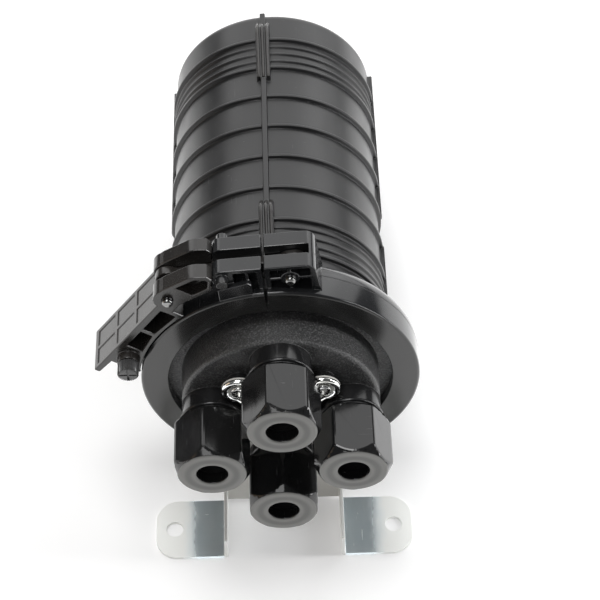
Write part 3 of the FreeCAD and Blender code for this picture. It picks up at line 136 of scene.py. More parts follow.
def ramp_of(tree, value, low, high, to_low=0.0, to_high=1.0):
    """A soft step from to_low, where value is at low, to to_high, where it is at high."""
    feeds = {"Value": value, "From Min": low, "From Max": high, "To Min": to_low, "To Max": to_high}
    return add(tree, "MapRange", feeds, interpolation_type="SMOOTHSTEP").outputs["Result"]


def mix_colour(tree, share, first, second):
    return add(tree, "Mix", {0: share, 6: first, 7: second}, data_type="RGBA").outputs[2]


def mix_value(tree, share, first, second):
    return add(tree, "Mix", {0: share, 2: first, 3: second}, data_type="FLOAT").outputs[0]


def place_in(tree):
    return add(tree, "TexCoord").outputs["Object"]


def along(tree, axis):
    return add(tree, "SeparateXYZ", {"Vector": place_in(tree)}).outputs[axis]


print("node helpers ready")

# %% [markdown]
# ## Groups and finishes
# An effect that several finishes share, such as grain, is best a node group: it is built once, and
# each finish places it with values of its own. A group's sockets are made on its interface. The
# Principled shader stays in the finish itself, where an exporter can find it.

# %% Helpers that start groups and finishes
finishes = {}


def start_group(name, inputs, outputs):
    group = bpy.data.node_groups.new(name, "ShaderNodeTree")
    for title, value in inputs.items():
        socket = group.interface.new_socket(title, in_out="INPUT", socket_type="NodeSocketFloat")
        socket.default_value = value
    for title in outputs:
        group.interface.new_socket(title, in_out="OUTPUT", socket_type="NodeSocketFloat")
    given = group.nodes.new("NodeGroupInput")
    result = group.nodes.new("NodeGroupOutput")
    return group, given.outputs, result.inputs


def use_group(tree, group, **values):
    return add(tree, "Group", values, node_tree=group).outputs


def start_finish(name):
    finish = bpy.data.materials.new(name)
    finish.use_nodes = True
    finishes[name] = finish
    return finish.node_tree, finish.node_tree.nodes["Principled BSDF"]


print("group helpers ready")

# %% [markdown]
# ## Floor
# The box stands on a plain white sheet. A very strong lamp would make any floor white, but it would
# bleach the object too. So the floor is pale grey under plain light, and a little glow, which only
# the camera and reflections see, lifts it to white. Its own surface still takes the soft shadow.

# %% Floor
FLOOR_HALF = 6.0
FLOOR_Z = -0.4 * MM
FLOOR_GREY = (0.80, 0.80, 0.80, 1)
FLOOR_ROUGH = 0.9
GLOW_MIRRORED = 0.85
GLOW_SEEN = 0.25

shape = bmesh.new()
bmesh.ops.create_grid(shape, x_segments=1, y_segments=1, size=FLOOR_HALF)
bmesh.ops.translate(shape, verts=shape.verts, vec=(0, 0, FLOOR_Z))
floor_mesh = bpy.data.meshes.new("studio_floor")
shape.to_mesh(floor_mesh)
shape.free()
floor = bpy.data.objects.new("studio_floor", floor_mesh)
scene.collection.objects.link(floor)
floor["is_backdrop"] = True

tree, shader = start_finish("white_floor")
shader.inputs["Base Color"].default_value = FLOOR_GREY
shader.inputs["Roughness"].default_value = FLOOR_ROUGH
shader.inputs["Specular IOR Level"].default_value = 0.0
shader.inputs["Emission Color"].default_value = (1, 1, 1, 1)
ray = add(tree, "LightPath").outputs
mirrored = math_of(tree, "MAXIMUM", ray["Is Glossy Ray"], ray["Is Transmission Ray"])
seen = math_of(tree, "MULTIPLY", ray["Is Camera Ray"], GLOW_SEEN)
glow = math_of(tree, "ADD", math_of(tree, "MULTIPLY", mirrored, GLOW_MIRRORED), seen)
tree.links.new(glow, shader.inputs["Emission Strength"])
floor_mesh.materials.append(finishes["white_floor"])
print("floor", 2 * FLOOR_HALF, "m wide at", FLOOR_Z, "m")

# %% [markdown]
# ## Light
# Black gloss shows little colour of its own: it is drawn by what it mirrors. One lamp would leave
# the dome black with a single spot. Here a broad sweep behind the dome gives its grey sheen, and two
# narrow boxes beside it edge the ribs. A box above and a fill in front light the bracket and the
# nuts' ends, a strip on the right draws the bright line down hoop and nut, and a weak warm panel on
# the left tints the lever.

# %% World and lamps
WORLD_TINT = (0.95, 0.97, 1.0, 1)
WORLD_LEVEL = 0.12
WARM = (1.0, 0.74, 0.48)

world = bpy.data.worlds.new("studio_world")
scene.world = world
world.use_nodes = True
sky = world.node_tree.nodes["Background"]
sky.inputs["Color"].default_value = WORLD_TINT
sky.inputs["Strength"].default_value = WORLD_LEVEL


def soft_box(name, place, aim, width, height, watts, colour=(1, 1, 1)):
    lamp = bpy.data.lights.new(name, "AREA")
    lamp.shape = "RECTANGLE"
    lamp.size = width
    lamp.size_y = height
    lamp.energy = watts
    lamp.color = colour
    holder = bpy.data.objects.new(name, lamp)
    holder.location = place
    holder.rotation_mode = "QUATERNION"
    holder.rotation_quaternion = (Vector(aim) - Vector(place)).to_track_quat("-Z", "Y")
    scene.collection.objects.link(holder)
    print(name, watts, "W")


soft_box("sweep_behind", (0.32, 2.1, 1.55), (0.25, 1.0, 0.9), width=4.4, height=3.0, watts=72)
soft_box("box_back_left", (-1.1, 1.6, 1.3), (0, 0.1, 0.1), width=0.5, height=1.2, watts=1.0)
soft_box("box_back_right", (1.1, 1.6, 1.3), (0, 0.1, 0.1), width=0.5, height=1.2, watts=1.6)
soft_box("box_above", (-0.25, 0.25, 2.2), (0, 0.05, 0.05), width=0.9, height=0.9, watts=20)
soft_box("fill_front", (-0.45, -1.2, 1.75), (0, 0.0, 0.05), width=1.0, height=0.8, watts=8)
soft_box("strip_right", (1.35, 0.0, 0.62), (0, 0.1, 0.1), width=0.22, height=1.2, watts=11)
soft_box("panel_left", (-1.4, -0.1, 0.5), (0, 0.1, 0.1), width=0.8, height=0.9, watts=1.6, colour=WARM)

# %% [markdown]
# ## Moulded grain
# A mould's wall is etched or blasted, and the plastic copies it as a fine grain. It could be a picture of
# grain, but noise has no seams and no end. Fine noise gives the hills, and a cell pattern digs small pits
# between them. The highest hills are put out as a mask for painted glints: grey specks in the colour that
# stand in for the light the grain catches.

# %% Moulded grain
MM_IN_METRE = 1000.0
PIT_SHARE = 0.35
GLINT_FROM = 0.48
GLINT_FULL = 0.68

grain, given, result = start_group("moulded_grain", {"Size": 0.6, "Rough": 0.5}, ["Height", "Glint"])
place = place_in(grain)
scale = math_of(grain, "DIVIDE", MM_IN_METRE, given["Size"])
hills = add(grain, "TexNoise", {"Vector": place, "Scale": scale, "Detail": 2.0, "Roughness": given["Rough"]})
cells = add(grain, "TexVoronoi", {"Vector": place, "Scale": scale})
pits = math_of(grain, "MULTIPLY", cells.outputs["Distance"], PIT_SHARE)
grain.links.new(math_of(grain, "SUBTRACT", hills.outputs["Fac"], pits), result["Height"])
# The highest hills give the mask for painted glints.
grain.links.new(ramp_of(grain, hills.outputs["Fac"], GLINT_FROM, GLINT_FULL), result["Glint"])
print("group", grain.name)

# %% [markdown]
# ## Clouds in the melt
# Moulded plastic is never one even black: where the melt flowed and cooled, broad faint clouds stay.
# Painting them would need a map for each piece, while one broad noise serves them all. It is drawn
# out along the dome, the way the melt ran.

# %% Clouds in the melt
FLOW_STRETCH = (1.0, 0.45, 1.0)
CLOUD_FROM = 0.3
CLOUD_FULL = 0.7

clouds, given, result = start_group("melt_clouds", {"Size": 30.0}, ["Shade"])
scale = math_of(clouds, "DIVIDE", MM_IN_METRE, given["Size"])
drawn = add(clouds, "Mapping", {"Vector": place_in(clouds), "Scale": FLOW_STRETCH}).outputs[0]
broad = add(clouds, "TexNoise", {"Vector": drawn, "Scale": scale, "Detail": 3.0})
clouds.links.new(ramp_of(clouds, broad.outputs["Fac"], CLOUD_FROM, CLOUD_FULL), result["Shade"])
print("group", clouds.name)

# %% [markdown]
# ## Hairline scratches
# Handling leaves thin scratches, most of all on bright sheet. Modelling each one would take
# thousands of faces, so noise is squeezed hard across one direction until its spots are lines, and
# only its highest values count. Two such sets lie at different angles.

# %% Hairline scratches
SCRATCH_LEVEL = 0.80
SCRATCH_GAIN = 0.2
SCRATCH_EDGE = 12.0
SCRATCH_SETS = (((0.3, 0.5, 0.4), (1300, 60, 1300)), ((0.9, 0.2, 1.3), (50, 1100, 1100)))

scratches, given, result = start_group("hairline_scratches", {"Amount": 0.3}, ["Mask"])
place = place_in(scratches)
eased = math_of(scratches, "MULTIPLY", given["Amount"], SCRATCH_GAIN)
threshold = math_of(scratches, "SUBTRACT", SCRATCH_LEVEL, eased)
lines = []
for turn, squeeze in SCRATCH_SETS:
    laid = add(scratches, "Mapping", {"Vector": place, "Rotation": turn, "Scale": squeeze}).outputs[0]
    hair = add(scratches, "TexNoise", {"Vector": laid, "Scale": 1.0, "Detail": 1.0})
    over = math_of(scratches, "SUBTRACT", hair.outputs["Fac"], threshold)
    lines.append(math_of(scratches, "MULTIPLY", over, SCRATCH_EDGE, clamp=True))
scratches.links.new(math_of(scratches, "MAXIMUM", *lines), result["Mask"])
print("group", scratches.name)

# %% [markdown]
# ## Plastic
# All black pieces of the box are moulded plastics that differ in gloss and grain. Separate trees
# would repeat the same wiring, so one function builds the tree: clouds and scratches vary colour and
# roughness, grain gives the bump. A `zone` function may then change a part of the piece, and
# `dip_mm` adds the shallow sinks of a thick wall.

# %% Plastic
PLASTIC_CLOUD = 28.0
PLASTIC_GRAIN_ROUGH = 0.5
SCRATCH_TINT = 0.35
SCRATCH_GREY = (0.16, 0.16, 0.165, 1)
PAINTED_GLINT_GREY = (0.3, 0.3, 0.3, 1)
GRAIN_MIDDLE = 0.4
GRAIN_SPREAD = 0.12
CLOUD_SMOOTHER = 0.04
CLOUD_ROUGHER = 0.05
SCRATCH_ROUGHER = 0.12
DIP_SIZE = 9.0


def bump_of(tree, height, depth_mm, strength=1.0):
    return add(tree, "Bump", {"Height": height, "Strength": strength, "Distance": depth_mm * MM})


def plastic(name, dark, light, rough, grain_mm, depth_mm, scratch=0.3, painted_glint=0.0, zone=None, dip_mm=0.0):
    tree, shader = start_finish(name)
    grains = use_group(tree, grain, Size=grain_mm, Rough=PLASTIC_GRAIN_ROUGH)
    cloud = use_group(tree, clouds, Size=PLASTIC_CLOUD)["Shade"]
    scratched = use_group(tree, scratches, Amount=scratch)["Mask"]
    colour = mix_colour(tree, cloud, (*dark, 1), (*light, 1))
    colour = mix_colour(tree, math_of(tree, "MULTIPLY", scratched, SCRATCH_TINT), colour, SCRATCH_GREY)
    # Painted glints: grey specks on the grain's hilltops stand in for light the grain catches.
    if painted_glint:
        colour = mix_colour(tree, math_of(tree, "MULTIPLY", grains["Glint"], painted_glint), colour, PAINTED_GLINT_GREY)
    uneven = math_of(tree, "SUBTRACT", grains["Height"], GRAIN_MIDDLE)
    soft = ramp_of(tree, cloud, 0.0, 1.0, rough - CLOUD_SMOOTHER, rough + CLOUD_ROUGHER)
    soft = math_of(tree, "ADD", soft, math_of(tree, "MULTIPLY", uneven, GRAIN_SPREAD))
    soft = math_of(tree, "ADD", soft, math_of(tree, "MULTIPLY", scratched, SCRATCH_ROUGHER))
    height = grains["Height"]
    if zone:
        colour, soft, height = zone(tree, colour, soft, height)
    bump = bump_of(tree, height, depth_mm)
    if dip_mm:
        dips = bump_of(tree, use_group(tree, clouds, Size=DIP_SIZE)["Shade"], dip_mm)
        tree.links.new(dips.outputs["Normal"], bump.inputs["Normal"])
    tree.links.new(colour, shader.inputs["Base Color"])
    tree.links.new(soft, shader.inputs["Roughness"])
    tree.links.new(bump.outputs["Normal"], shader.inputs["Normal"])
    print("finish", name)


# %% [markdown]
# ## Dome and latch
# The dome is satin: fine grain, little gloss. Lever and link come from another mould, a little
# browner and smoother, and the lock screw's knob is the palest of the blacks. One black for all
# would be quicker, but side by side in the photograph they differ. They need no zones, only their
# own numbers.

# %% Dome and latch
plastic(
    "dome_plastic", dark=(0.011, 0.011, 0.0115), light=(0.015, 0.015, 0.0155), rough=0.36,
    grain_mm=0.35, depth_mm=0.012)
plastic(
    "latch_plastic", dark=(0.015, 0.014, 0.0135), light=(0.024, 0.0215, 0.0195), rough=0.22,
    grain_mm=0.5, depth_mm=0.008, scratch=0.15)
plastic(
    "knob_plastic", dark=(0.05, 0.05, 0.051), light=(0.065, 0.065, 0.065), rough=0.24,
    grain_mm=0.5, depth_mm=0.01, scratch=0.1)

# %% [markdown]
# ## Base
# The base has a coarse grain. Its sparkle comes partly from the bump and partly from painted glints, grey
# specks on the hilltops, but its port collars were turned smooth in the mould and shine. It is one piece, so
# two materials on its faces would need the mesh to be split. A zone in the finish does it by place instead:
# everything in front of the base's face is glossy.

# %% Base
COLLAR_FROM = 28.8 * MM
COLLAR_FULL = 28.6 * MM
COLLAR_BLACK = (0.012, 0.012, 0.0125, 1)
COLLAR_ROUGH = 0.16
EVEN_HEIGHT = 0.4


def base_zones(tree, colour, soft, height):
    collar = ramp_of(tree, along(tree, "Y"), COLLAR_FROM, COLLAR_FULL)
    colour = mix_colour(tree, collar, colour, COLLAR_BLACK)
    soft = mix_value(tree, collar, soft, COLLAR_ROUGH)
    return colour, soft, mix_value(tree, collar, height, EVEN_HEIGHT)


plastic(
    "base_plastic", dark=(0.024, 0.024, 0.0245), light=(0.032, 0.032, 0.0325), rough=0.4,
    grain_mm=1.05, depth_mm=0.5, scratch=0.2, painted_glint=0.24, zone=base_zones)

# %% [markdown]
# ## Hoop
# The clamp's half-hoops are glossy, with a darker front face. The right half shows a thin parting
# line, where the two halves of its mould met. A cut that fine would need many faces, so it is a
# narrow band in the finish: darker, rougher and sunk.

# %% Hoop
FACE_FROM = 46.4 * MM
FACE_FULL = 45.9 * MM
FACE_BLACK = (0.015, 0.015, 0.0145, 1)
FACE_ROUGH = 0.2
SEAM_Y = 61.2 * MM
SEAM_HALF = 0.22 * MM
SEAM_X_FROM = 20 * MM
SEAM_X_FULL = 21 * MM
SEAM_BLACK = (0.004, 0.004, 0.004, 1)
SEAM_ROUGH = 0.7
SEAM_SUNK = -6.0


def hoop_zones(tree, colour, soft, height):
    band = {0: along(tree, "Y"), 1: SEAM_Y, 2: SEAM_HALF}
    seam = add(tree, "Math", band, operation="COMPARE").outputs[0]
    right = ramp_of(tree, along(tree, "X"), SEAM_X_FROM, SEAM_X_FULL)
    seam = math_of(tree, "MULTIPLY", seam, right)
    face = ramp_of(tree, along(tree, "Y"), FACE_FROM, FACE_FULL)
    colour = mix_colour(tree, seam, mix_colour(tree, face, colour, FACE_BLACK), SEAM_BLACK)
    soft = mix_value(tree, seam, mix_value(tree, face, soft, FACE_ROUGH), SEAM_ROUGH)
    return colour, soft, mix_value(tree, seam, height, SEAM_SUNK)


plastic(
    "clamp_plastic", dark=(0.012, 0.0125, 0.0135), light=(0.017, 0.0175, 0.0185), rough=0.17,
    grain_mm=0.5, depth_mm=0.004, zone=hoop_zones)

# %% [markdown]
# ## Gland nuts
# The nuts' flats are almost mirrors, while their end faces are matt. The ends are painted grey as painted
# light from the front, with a darker dished ring painted as shade.
# The ring lies round each nut's own axis. UV maps could follow it, but distance does it with less:
# a group measures how far a point lies from the nearest of the four port axes.

# %% Distance from the nearest port
SIDES = ("top", "left", "right", "bottom")


def middle_of(node):
    low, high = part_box(node)
    return (low + high) / 2


port_middles = [middle_of(f"gland_nut_{side}") for side in SIDES]
port_rings, given, result = start_group("port_rings", {}, ["Radius"])
seen_flat = {0: place_in(port_rings), 1: (1, 0, 1)}
flat = add(port_rings, "VectorMath", seen_flat, operation="MULTIPLY").outputs[0]
nearest = None
for middle in port_middles:
    span = {0: flat, 1: (middle.x, 0, middle.z)}
    reach = add(port_rings, "VectorMath", span, operation="DISTANCE").outputs["Value"]
    nearest = math_of(port_rings, "MINIMUM", nearest, reach) if nearest else reach
port_rings.links.new(nearest, result["Radius"])
print("ports at", [(round(middle.x, 4), round(middle.z, 4)) for middle in port_middles])

# %% Nut finish
END_FROM = -21.5 * MM
END_FULL = -22.2 * MM
END_ROUGH = 0.5
DISH_R = 14.3 * MM
DISH_DEEP = 0.5 * MM
DISH_EDGE = 3.5 * MM
PAINTED_DISH_SHADE = (0.115, 0.115, 0.11, 1)
PAINTED_END_LIGHT = (0.2, 0.2, 0.19, 1)


# Painted light: the end faces are painted grey to stand in for light from the front, and the dish ring is
# painted darker as shade.
def nut_zones(tree, colour, soft, height):
    end = ramp_of(tree, along(tree, "Y"), END_FROM, END_FULL)
    radius = use_group(tree, port_rings)["Radius"]
    dish = math_of(tree, "ABSOLUTE", math_of(tree, "SUBTRACT", radius, DISH_R))
    painted_end_tone = mix_colour(tree, ramp_of(tree, dish, DISH_DEEP, DISH_EDGE), PAINTED_DISH_SHADE, PAINTED_END_LIGHT)
    return mix_colour(tree, end, colour, painted_end_tone), mix_value(tree, end, soft, END_ROUGH), height


plastic(
    "nut_plastic", dark=(0.008, 0.008, 0.0085), light=(0.012, 0.012, 0.012), rough=0.1,
    grain_mm=0.6, depth_mm=0.003, zone=nut_zones, dip_mm=0.02)

# %% [markdown]
# ## Inner pieces
# Seals and washers sit in the glands, and trays, their clear cover and a strap lie under the dome.
# Little of them shows, but a piece without a finish would stand out as soon as the dome is hidden.
# The same function serves, with rubber, pale tray plastic and a coarse bump for the strap's pile.

# %% Inner pieces
BLACK_RUBBER = {"dark": (0.006, 0.006, 0.006), "light": (0.009, 0.009, 0.009)}
plastic("seal_rubber", **BLACK_RUBBER, rough=0.6, grain_mm=0.4, depth_mm=0.01)
plastic("washer_plastic", **BLACK_RUBBER, rough=0.5, grain_mm=0.5, depth_mm=0.006)
plastic(
    "tray_plastic", dark=(0.62, 0.62, 0.6), light=(0.7, 0.7, 0.68), rough=0.4, grain_mm=0.5, depth_mm=0.006)
plastic(
    "cover_plastic", dark=(0.75, 0.77, 0.78), light=(0.8, 0.82, 0.83), rough=0.1, grain_mm=0.8,
    depth_mm=0.002)
plastic(
    "strap_fabric", dark=(0.02, 0.02, 0.02), light=(0.03, 0.03, 0.03), rough=0.8, grain_mm=0.5, depth_mm=0.2)

# %% [markdown]
# ## Steel and bright zinc
# Pins and screws are steel, the pressed rims bright zinc. A grey with gloss would look like paint:
# on metal the colour is the reflection's own tint. So these are metallic, with a little cloud in
# tint and roughness, and scratches that dull the mirror.

# %% Steel and bright zinc
METAL_BUMP = 0.6
METAL_CLOUD = 14.0
METAL_GRAIN_ROUGH = 0.6
METAL_SCRATCH = 0.6
METAL_SMOOTHER = 0.05
METAL_ROUGHER = 0.06
SCRATCH_DULLS = 0.3
METAL_GRAIN_DEPTH = 0.006


def metal(name, dull, bright, rough, grain_mm):
    tree, shader = start_finish(name)
    shader.inputs["Metallic"].default_value = 1.0
    grains = use_group(tree, grain, Size=grain_mm, Rough=METAL_GRAIN_ROUGH)
    cloud = use_group(tree, clouds, Size=METAL_CLOUD)["Shade"]
    scratched = use_group(tree, scratches, Amount=METAL_SCRATCH)["Mask"]
    tree.links.new(mix_colour(tree, cloud, (*dull, 1), (*bright, 1)), shader.inputs["Base Color"])
    soft = ramp_of(tree, cloud, 0.0, 1.0, rough - METAL_SMOOTHER, rough + METAL_ROUGHER)
    soft = math_of(tree, "ADD", soft, math_of(tree, "MULTIPLY", scratched, SCRATCH_DULLS))
    tree.links.new(soft, shader.inputs["Roughness"])
    bump = bump_of(tree, grains["Height"], METAL_GRAIN_DEPTH, strength=METAL_BUMP)
    tree.links.new(bump.outputs["Normal"], shader.inputs["Normal"])
    print("finish", name)


metal("bright_zinc", dull=(0.78, 0.78, 0.74), bright=(0.9, 0.92, 0.92), rough=0.1, grain_mm=0.8)
metal("pin_steel", dull=(0.6, 0.6, 0.6), bright=(0.72, 0.72, 0.7), rough=0.14, grain_mm=0.6)
metal("dark_steel", dull=(0.035, 0.035, 0.035), bright=(0.06, 0.06, 0.06), rough=0.14, grain_mm=0.6)
metal("grey_steel", dull=(0.17, 0.17, 0.17), bright=(0.24, 0.24, 0.235), rough=0.14, grain_mm=0.6)

# %% [markdown]
# ## Zinc sheet
# The bracket is bent from zinc plated sheet, and the plate is bluish. White is painted over the ears' outer
# halves as a painted reflection of the bright light behind, and over the bends as a painted highlight.
# Scratches, which are wear, turn white as well. The middle of the sheet with the upright web is painted a
# duller grey as painted shade. Painting these by hand would need a picture, but each follows from the
# distance to the middle, so the finish reads that distance and lets the clouds make the painted reflection's
# edge wander.

# %% Zinc sheet
WEB_HALF = 37.9 * MM
BEND_HIGHLIGHT_FROM = WEB_HALF + 0.8 * MM
BEND_HIGHLIGHT_FULL = WEB_HALF + 0.4 * MM
WEB_SHADE_FROM = WEB_HALF - 2.0 * MM
WEB_SHADE_FULL = WEB_HALF - 2.4 * MM
# The white and grey set here are painted light: a reflection on the ears, highlights on the bends, and shade
# on the web.
REFLECTION_FROM = 53.5 * MM
REFLECTION_FULL = 66.0 * MM
REFLECTION_WANDER = 3.0 * MM
BLUE_DARK = (0.76, 0.86, 0.90, 1)
BLUE_LIGHT = (0.82, 0.91, 0.94, 1)
SCRATCH_AND_PAINTED_LIGHT_WHITE = (0.95, 0.96, 0.93, 1)
PAINTED_WEB_SHADE = (0.56, 0.55, 0.52, 1)
CLEAR_METAL = 0.7
HAZY_METAL = 0.1
CLEAR_ROUGH = 0.22
HAZY_ROUGH = 0.5
ZINC_CLOUD = 10.0
ZINC_SCRATCH = 0.28
ZINC_GRAIN = 0.7
ZINC_GRAIN_DEPTH = 0.004
ZINC_BUMP = 0.5
CLOUD_MIDDLE = 0.5

tree, shader = start_finish("zinc_sheet")
cloud = use_group(tree, clouds, Size=ZINC_CLOUD)["Shade"]
grains = use_group(tree, grain, Size=ZINC_GRAIN, Rough=METAL_GRAIN_ROUGH)
scratched = use_group(tree, scratches, Amount=ZINC_SCRATCH)["Mask"]
# Painted light: white on the ears' outer halves is a painted reflection, white on the bends a painted
# highlight, and the grey middle and web painted shade.
outward = math_of(tree, "ABSOLUTE", along(tree, "X"))
wander = math_of(tree, "MULTIPLY", math_of(tree, "SUBTRACT", cloud, CLOUD_MIDDLE), REFLECTION_WANDER)
painted_reflection = ramp_of(tree, math_of(tree, "ADD", outward, wander), REFLECTION_FROM, REFLECTION_FULL)
painted_bend_highlight = ramp_of(tree, outward, BEND_HIGHLIGHT_FROM, BEND_HIGHLIGHT_FULL)
painted_web_shade = ramp_of(tree, outward, WEB_SHADE_FROM, WEB_SHADE_FULL)
# Scratches are real wear; the other two masks are painted light.
scratch_and_painted_light = math_of(tree, "MAXIMUM", math_of(tree, "MAXIMUM", painted_reflection, painted_bend_highlight), scratched)
colour = mix_colour(tree, scratch_and_painted_light, mix_colour(tree, cloud, BLUE_DARK, BLUE_LIGHT), SCRATCH_AND_PAINTED_LIGHT_WHITE)
tree.links.new(mix_colour(tree, painted_web_shade, colour, PAINTED_WEB_SHADE), shader.inputs["Base Color"])
tree.links.new(mix_value(tree, scratch_and_painted_light, CLEAR_METAL, HAZY_METAL), shader.inputs["Metallic"])
tree.links.new(mix_value(tree, scratch_and_painted_light, CLEAR_ROUGH, HAZY_ROUGH), shader.inputs["Roughness"])
bump = bump_of(tree, grains["Height"], ZINC_GRAIN_DEPTH, strength=ZINC_BUMP)
tree.links.new(bump.outputs["Normal"], shader.inputs["Normal"])
print("finish zinc_sheet")

# %% [markdown]
# ## Finishes on the measured pieces
# The record that comes with the model names a material slot for each piece, and each slot has a
# finish of the same name by now. A list by hand would do, but going by the record means that no
# piece is forgotten. Only the two latch pins differ: they are darker than the other steel.

# %% Finishes on the measured pieces
for part in frame["record"]["subparts"]:
    slots = nodes[part["node"]].data.materials
    slots.clear()
    slots.append(finishes[part["material_slot"]])
for name in ("lever_pin", "link_pin"):
    nodes[name].data.materials[0] = finishes["dark_steel"]

# %% [markdown]
# ## Rims of the bracket's lobes
# The bracket's two upper lobes end in a thick rolled rim round their screws. The rim is a round bar
# bent to an open ring with two straight tails. A curve with a bevel would do, but a spin keeps it a
# mesh from the start: a circle is swept round the screw, and its two ends are drawn out straight.

# %% Helpers that turn a shape into a piece
AXIS = Vector((0, 0, 98 * MM))
SMOOTH_ANGLE = 40


def edges_of(verts):
    return list(dict.fromkeys(edge for vert in verts for edge in vert.link_edges))


def only(items, kind):
    return [item for item in items if isinstance(item, kind)]


def finish_piece(shape, name, body, slot, finish=None, smooth=SMOOTH_ANGLE):
    """Makes shape a piece that rides on body, with its slot's finish unless another is named."""
    bmesh.ops.recalc_face_normals(shape, faces=shape.faces)
    mesh = bpy.data.meshes.new(name)
    shape.to_mesh(mesh)
    shape.free()
    mesh.materials.append(finishes[finish or slot])
    mesh.shade_smooth()
    mesh.set_sharp_from_angle(angle=math.radians(smooth))
    piece = bpy.data.objects.new(name, mesh)
    scene.collection.objects.link(piece)
    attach(piece, body)
    print(name, "has", len(mesh.polygons), "faces and rides on", body)
    return piece


print("piece helpers ready")

# %% Rims of the bracket's lobes
LOBE = 25.03 * MM
WEB_FRONT = 21 * MM
RIM_R = 8.4 * MM
RIM_THICK = 2.2 * MM
RIM_SWEEP = math.radians(250)
RIM_TAIL = 7 * MM
RIM_SIDES = 14
RIM_STEPS = 40


def lobe_rim(shape, side):
    centre = AXIS + Vector((side * LOBE, 0, LOBE))
    outward = Vector((side, 0, 1)).normalized()
    first = Matrix.Rotation(RIM_SWEEP / 2, 3, "Y") @ outward
    section = bmesh.ops.create_circle(shape, radius=RIM_THICK, segments=RIM_SIDES)["verts"]
    across = Matrix.Rotation(math.atan2(-first.z, first.x), 4, "Y")
    spot = centre + first * RIM_R + Vector((0, WEB_FRONT, 0))
    bmesh.ops.transform(shape, matrix=Matrix.Translation(spot) @ across, verts=section)
    loop = edges_of(section)
    turned = bmesh.ops.spin(
        shape, geom=[*section, *loop], cent=centre, axis=(0, 1, 0), angle=-RIM_SWEEP, steps=RIM_STEPS)
    for edges in (loop, only(turned["geom_last"], bmesh.types.BMEdge)):
        drawn = bmesh.ops.extrude_edge_only(shape, edges=edges)["geom"]
        moved = only(drawn, bmesh.types.BMVert)
        bmesh.ops.translate(shape, verts=moved, vec=-outward * RIM_TAIL)
    bmesh.ops.holes_fill(shape, edges=shape.edges, sides=RIM_SIDES)


shape = bmesh.new()
for side in (1, -1):
    lobe_rim(shape, side)
finish_piece(shape, "lobe_rims", "closure", "zinc_sheet", "bright_zinc")

# %% [markdown]
# ## Bracket screws
# Four pan-head screws hold the bracket to the base. Their heads are round bars with one rounded
# edge, and each has a cross for the driver. The cross could be built into the head's faces, but a
# Boolean cut with two crossed bars is simpler and leaves crisp walls. The measured screws are plain,
# so this piece stands for them.

# %% Helpers for round bars and crosses
TO_Y = Matrix.Rotation(math.radians(90), 4, "X")
LEVEL = 1e-6


def rod(shape, radius, start, end, place, segments=48):
    """A round bar along Y from start to end, its axis through place."""
    move = Matrix.Translation((place[0], (start + end) / 2, place[1]))
    made = bmesh.ops.create_cone(
        shape, cap_ends=True, segments=segments, radius1=radius, radius2=radius, depth=end - start,
        matrix=move @ TO_Y)
    return made["verts"]


def round_end(shape, verts, y, width, segments):
    """Rounds the edges among verts that lie at y."""
    rim = [edge for edge in edges_of(verts) if all(abs(vert.co.y - y) < LEVEL for vert in edge.verts)]
    bmesh.ops.bevel(
        shape, geom=rim, offset=width, segments=segments, profile=0.5, affect="EDGES", material=-1)


def cut_cross(piece, places, y, span, width, depth):
    """Cuts a cross of two slots into the face of piece that lies at y, at each place."""
    shape = bmesh.new()
    for x, z in places:
        for size in ((span, 2 * depth, width), (width, 2 * depth, span)):
            bar = Matrix.Translation((x, y, z)) @ Matrix.Diagonal((*size, 1))
            bmesh.ops.create_cube(shape, size=1.0, matrix=bar)
    mesh = bpy.data.meshes.new("cross_cutter")
    shape.to_mesh(mesh)
    shape.free()
    cutter = bpy.data.objects.new("cross_cutter", mesh)
    scene.collection.objects.link(cutter)
    cut = piece.modifiers.new("cross", "BOOLEAN")
    cut.object = cutter
    cut.solver = "EXACT"
    cut.use_self = True
    shown = piece.evaluated_get(bpy.context.evaluated_depsgraph_get())
    done = bpy.data.meshes.new_from_object(shown)
    piece.modifiers.clear()
    piece.data = done
    bpy.data.objects.remove(cutter)
    done.set_sharp_from_angle(angle=math.radians(SMOOTH_ANGLE))
    print("cut", len(places), "crosses into", piece.name)


print("bar and cross helpers ready")

# %% Bracket screws
HEAD_R = 5 * MM
HEAD_H = 2.8 * MM
HEAD_ROUND = 1.7 * MM
HEAD_STEPS = 6
SHANK_R = 2.4 * MM
SHANK_LEN = 13 * MM
SHANK_SIDES = 32
CROSS = {"span": 5.2 * MM, "width": 1.1 * MM, "depth": 1.5 * MM}

head_y = WEB_FRONT - HEAD_H
screw_places = [(side * LOBE, AXIS.z + rise * LOBE) for side in (1, -1) for rise in (1, -1)]
shape = bmesh.new()
for place in screw_places:
    head = rod(shape, HEAD_R, head_y, WEB_FRONT, place)
    round_end(shape, head, head_y, HEAD_ROUND, HEAD_STEPS)
    rod(shape, SHANK_R, WEB_FRONT, WEB_FRONT + SHANK_LEN, place, SHANK_SIDES)
pan_screws = finish_piece(shape, "pan_screws", "closure", "pin_steel")
cut_cross(pan_screws, screw_places, head_y, **CROSS)
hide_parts("bracket_screws")

# %% [markdown]
# ## Knurled lock screw
# The lock screw in the lever has a knurled knob, so that fingers can turn it, and a cross for a
# driver. Thirty grooves could be cut one by one, but a real knurl is pressed into a round bar, and
# that is quicker here too: the bar has twice as many sides as the knurl has ridges, and every other
# line of points is pressed towards the axis.

# %% Knurled lock screw
LOCK_HEAD_H = 8 * MM
LOCK_HEAD_R = 6.45 * MM
LOCK_ROUND = 0.5 * MM
LOCK_STEPS = 2
LOCK_SHANK_R = 3 * MM
LOCK_CROSS = {"span": 10.5 * MM, "width": 1.2 * MM, "depth": 1.4 * MM}
KNURLS = 30
PRESSED_TO = 0.88
OFF_HALF = 0.25

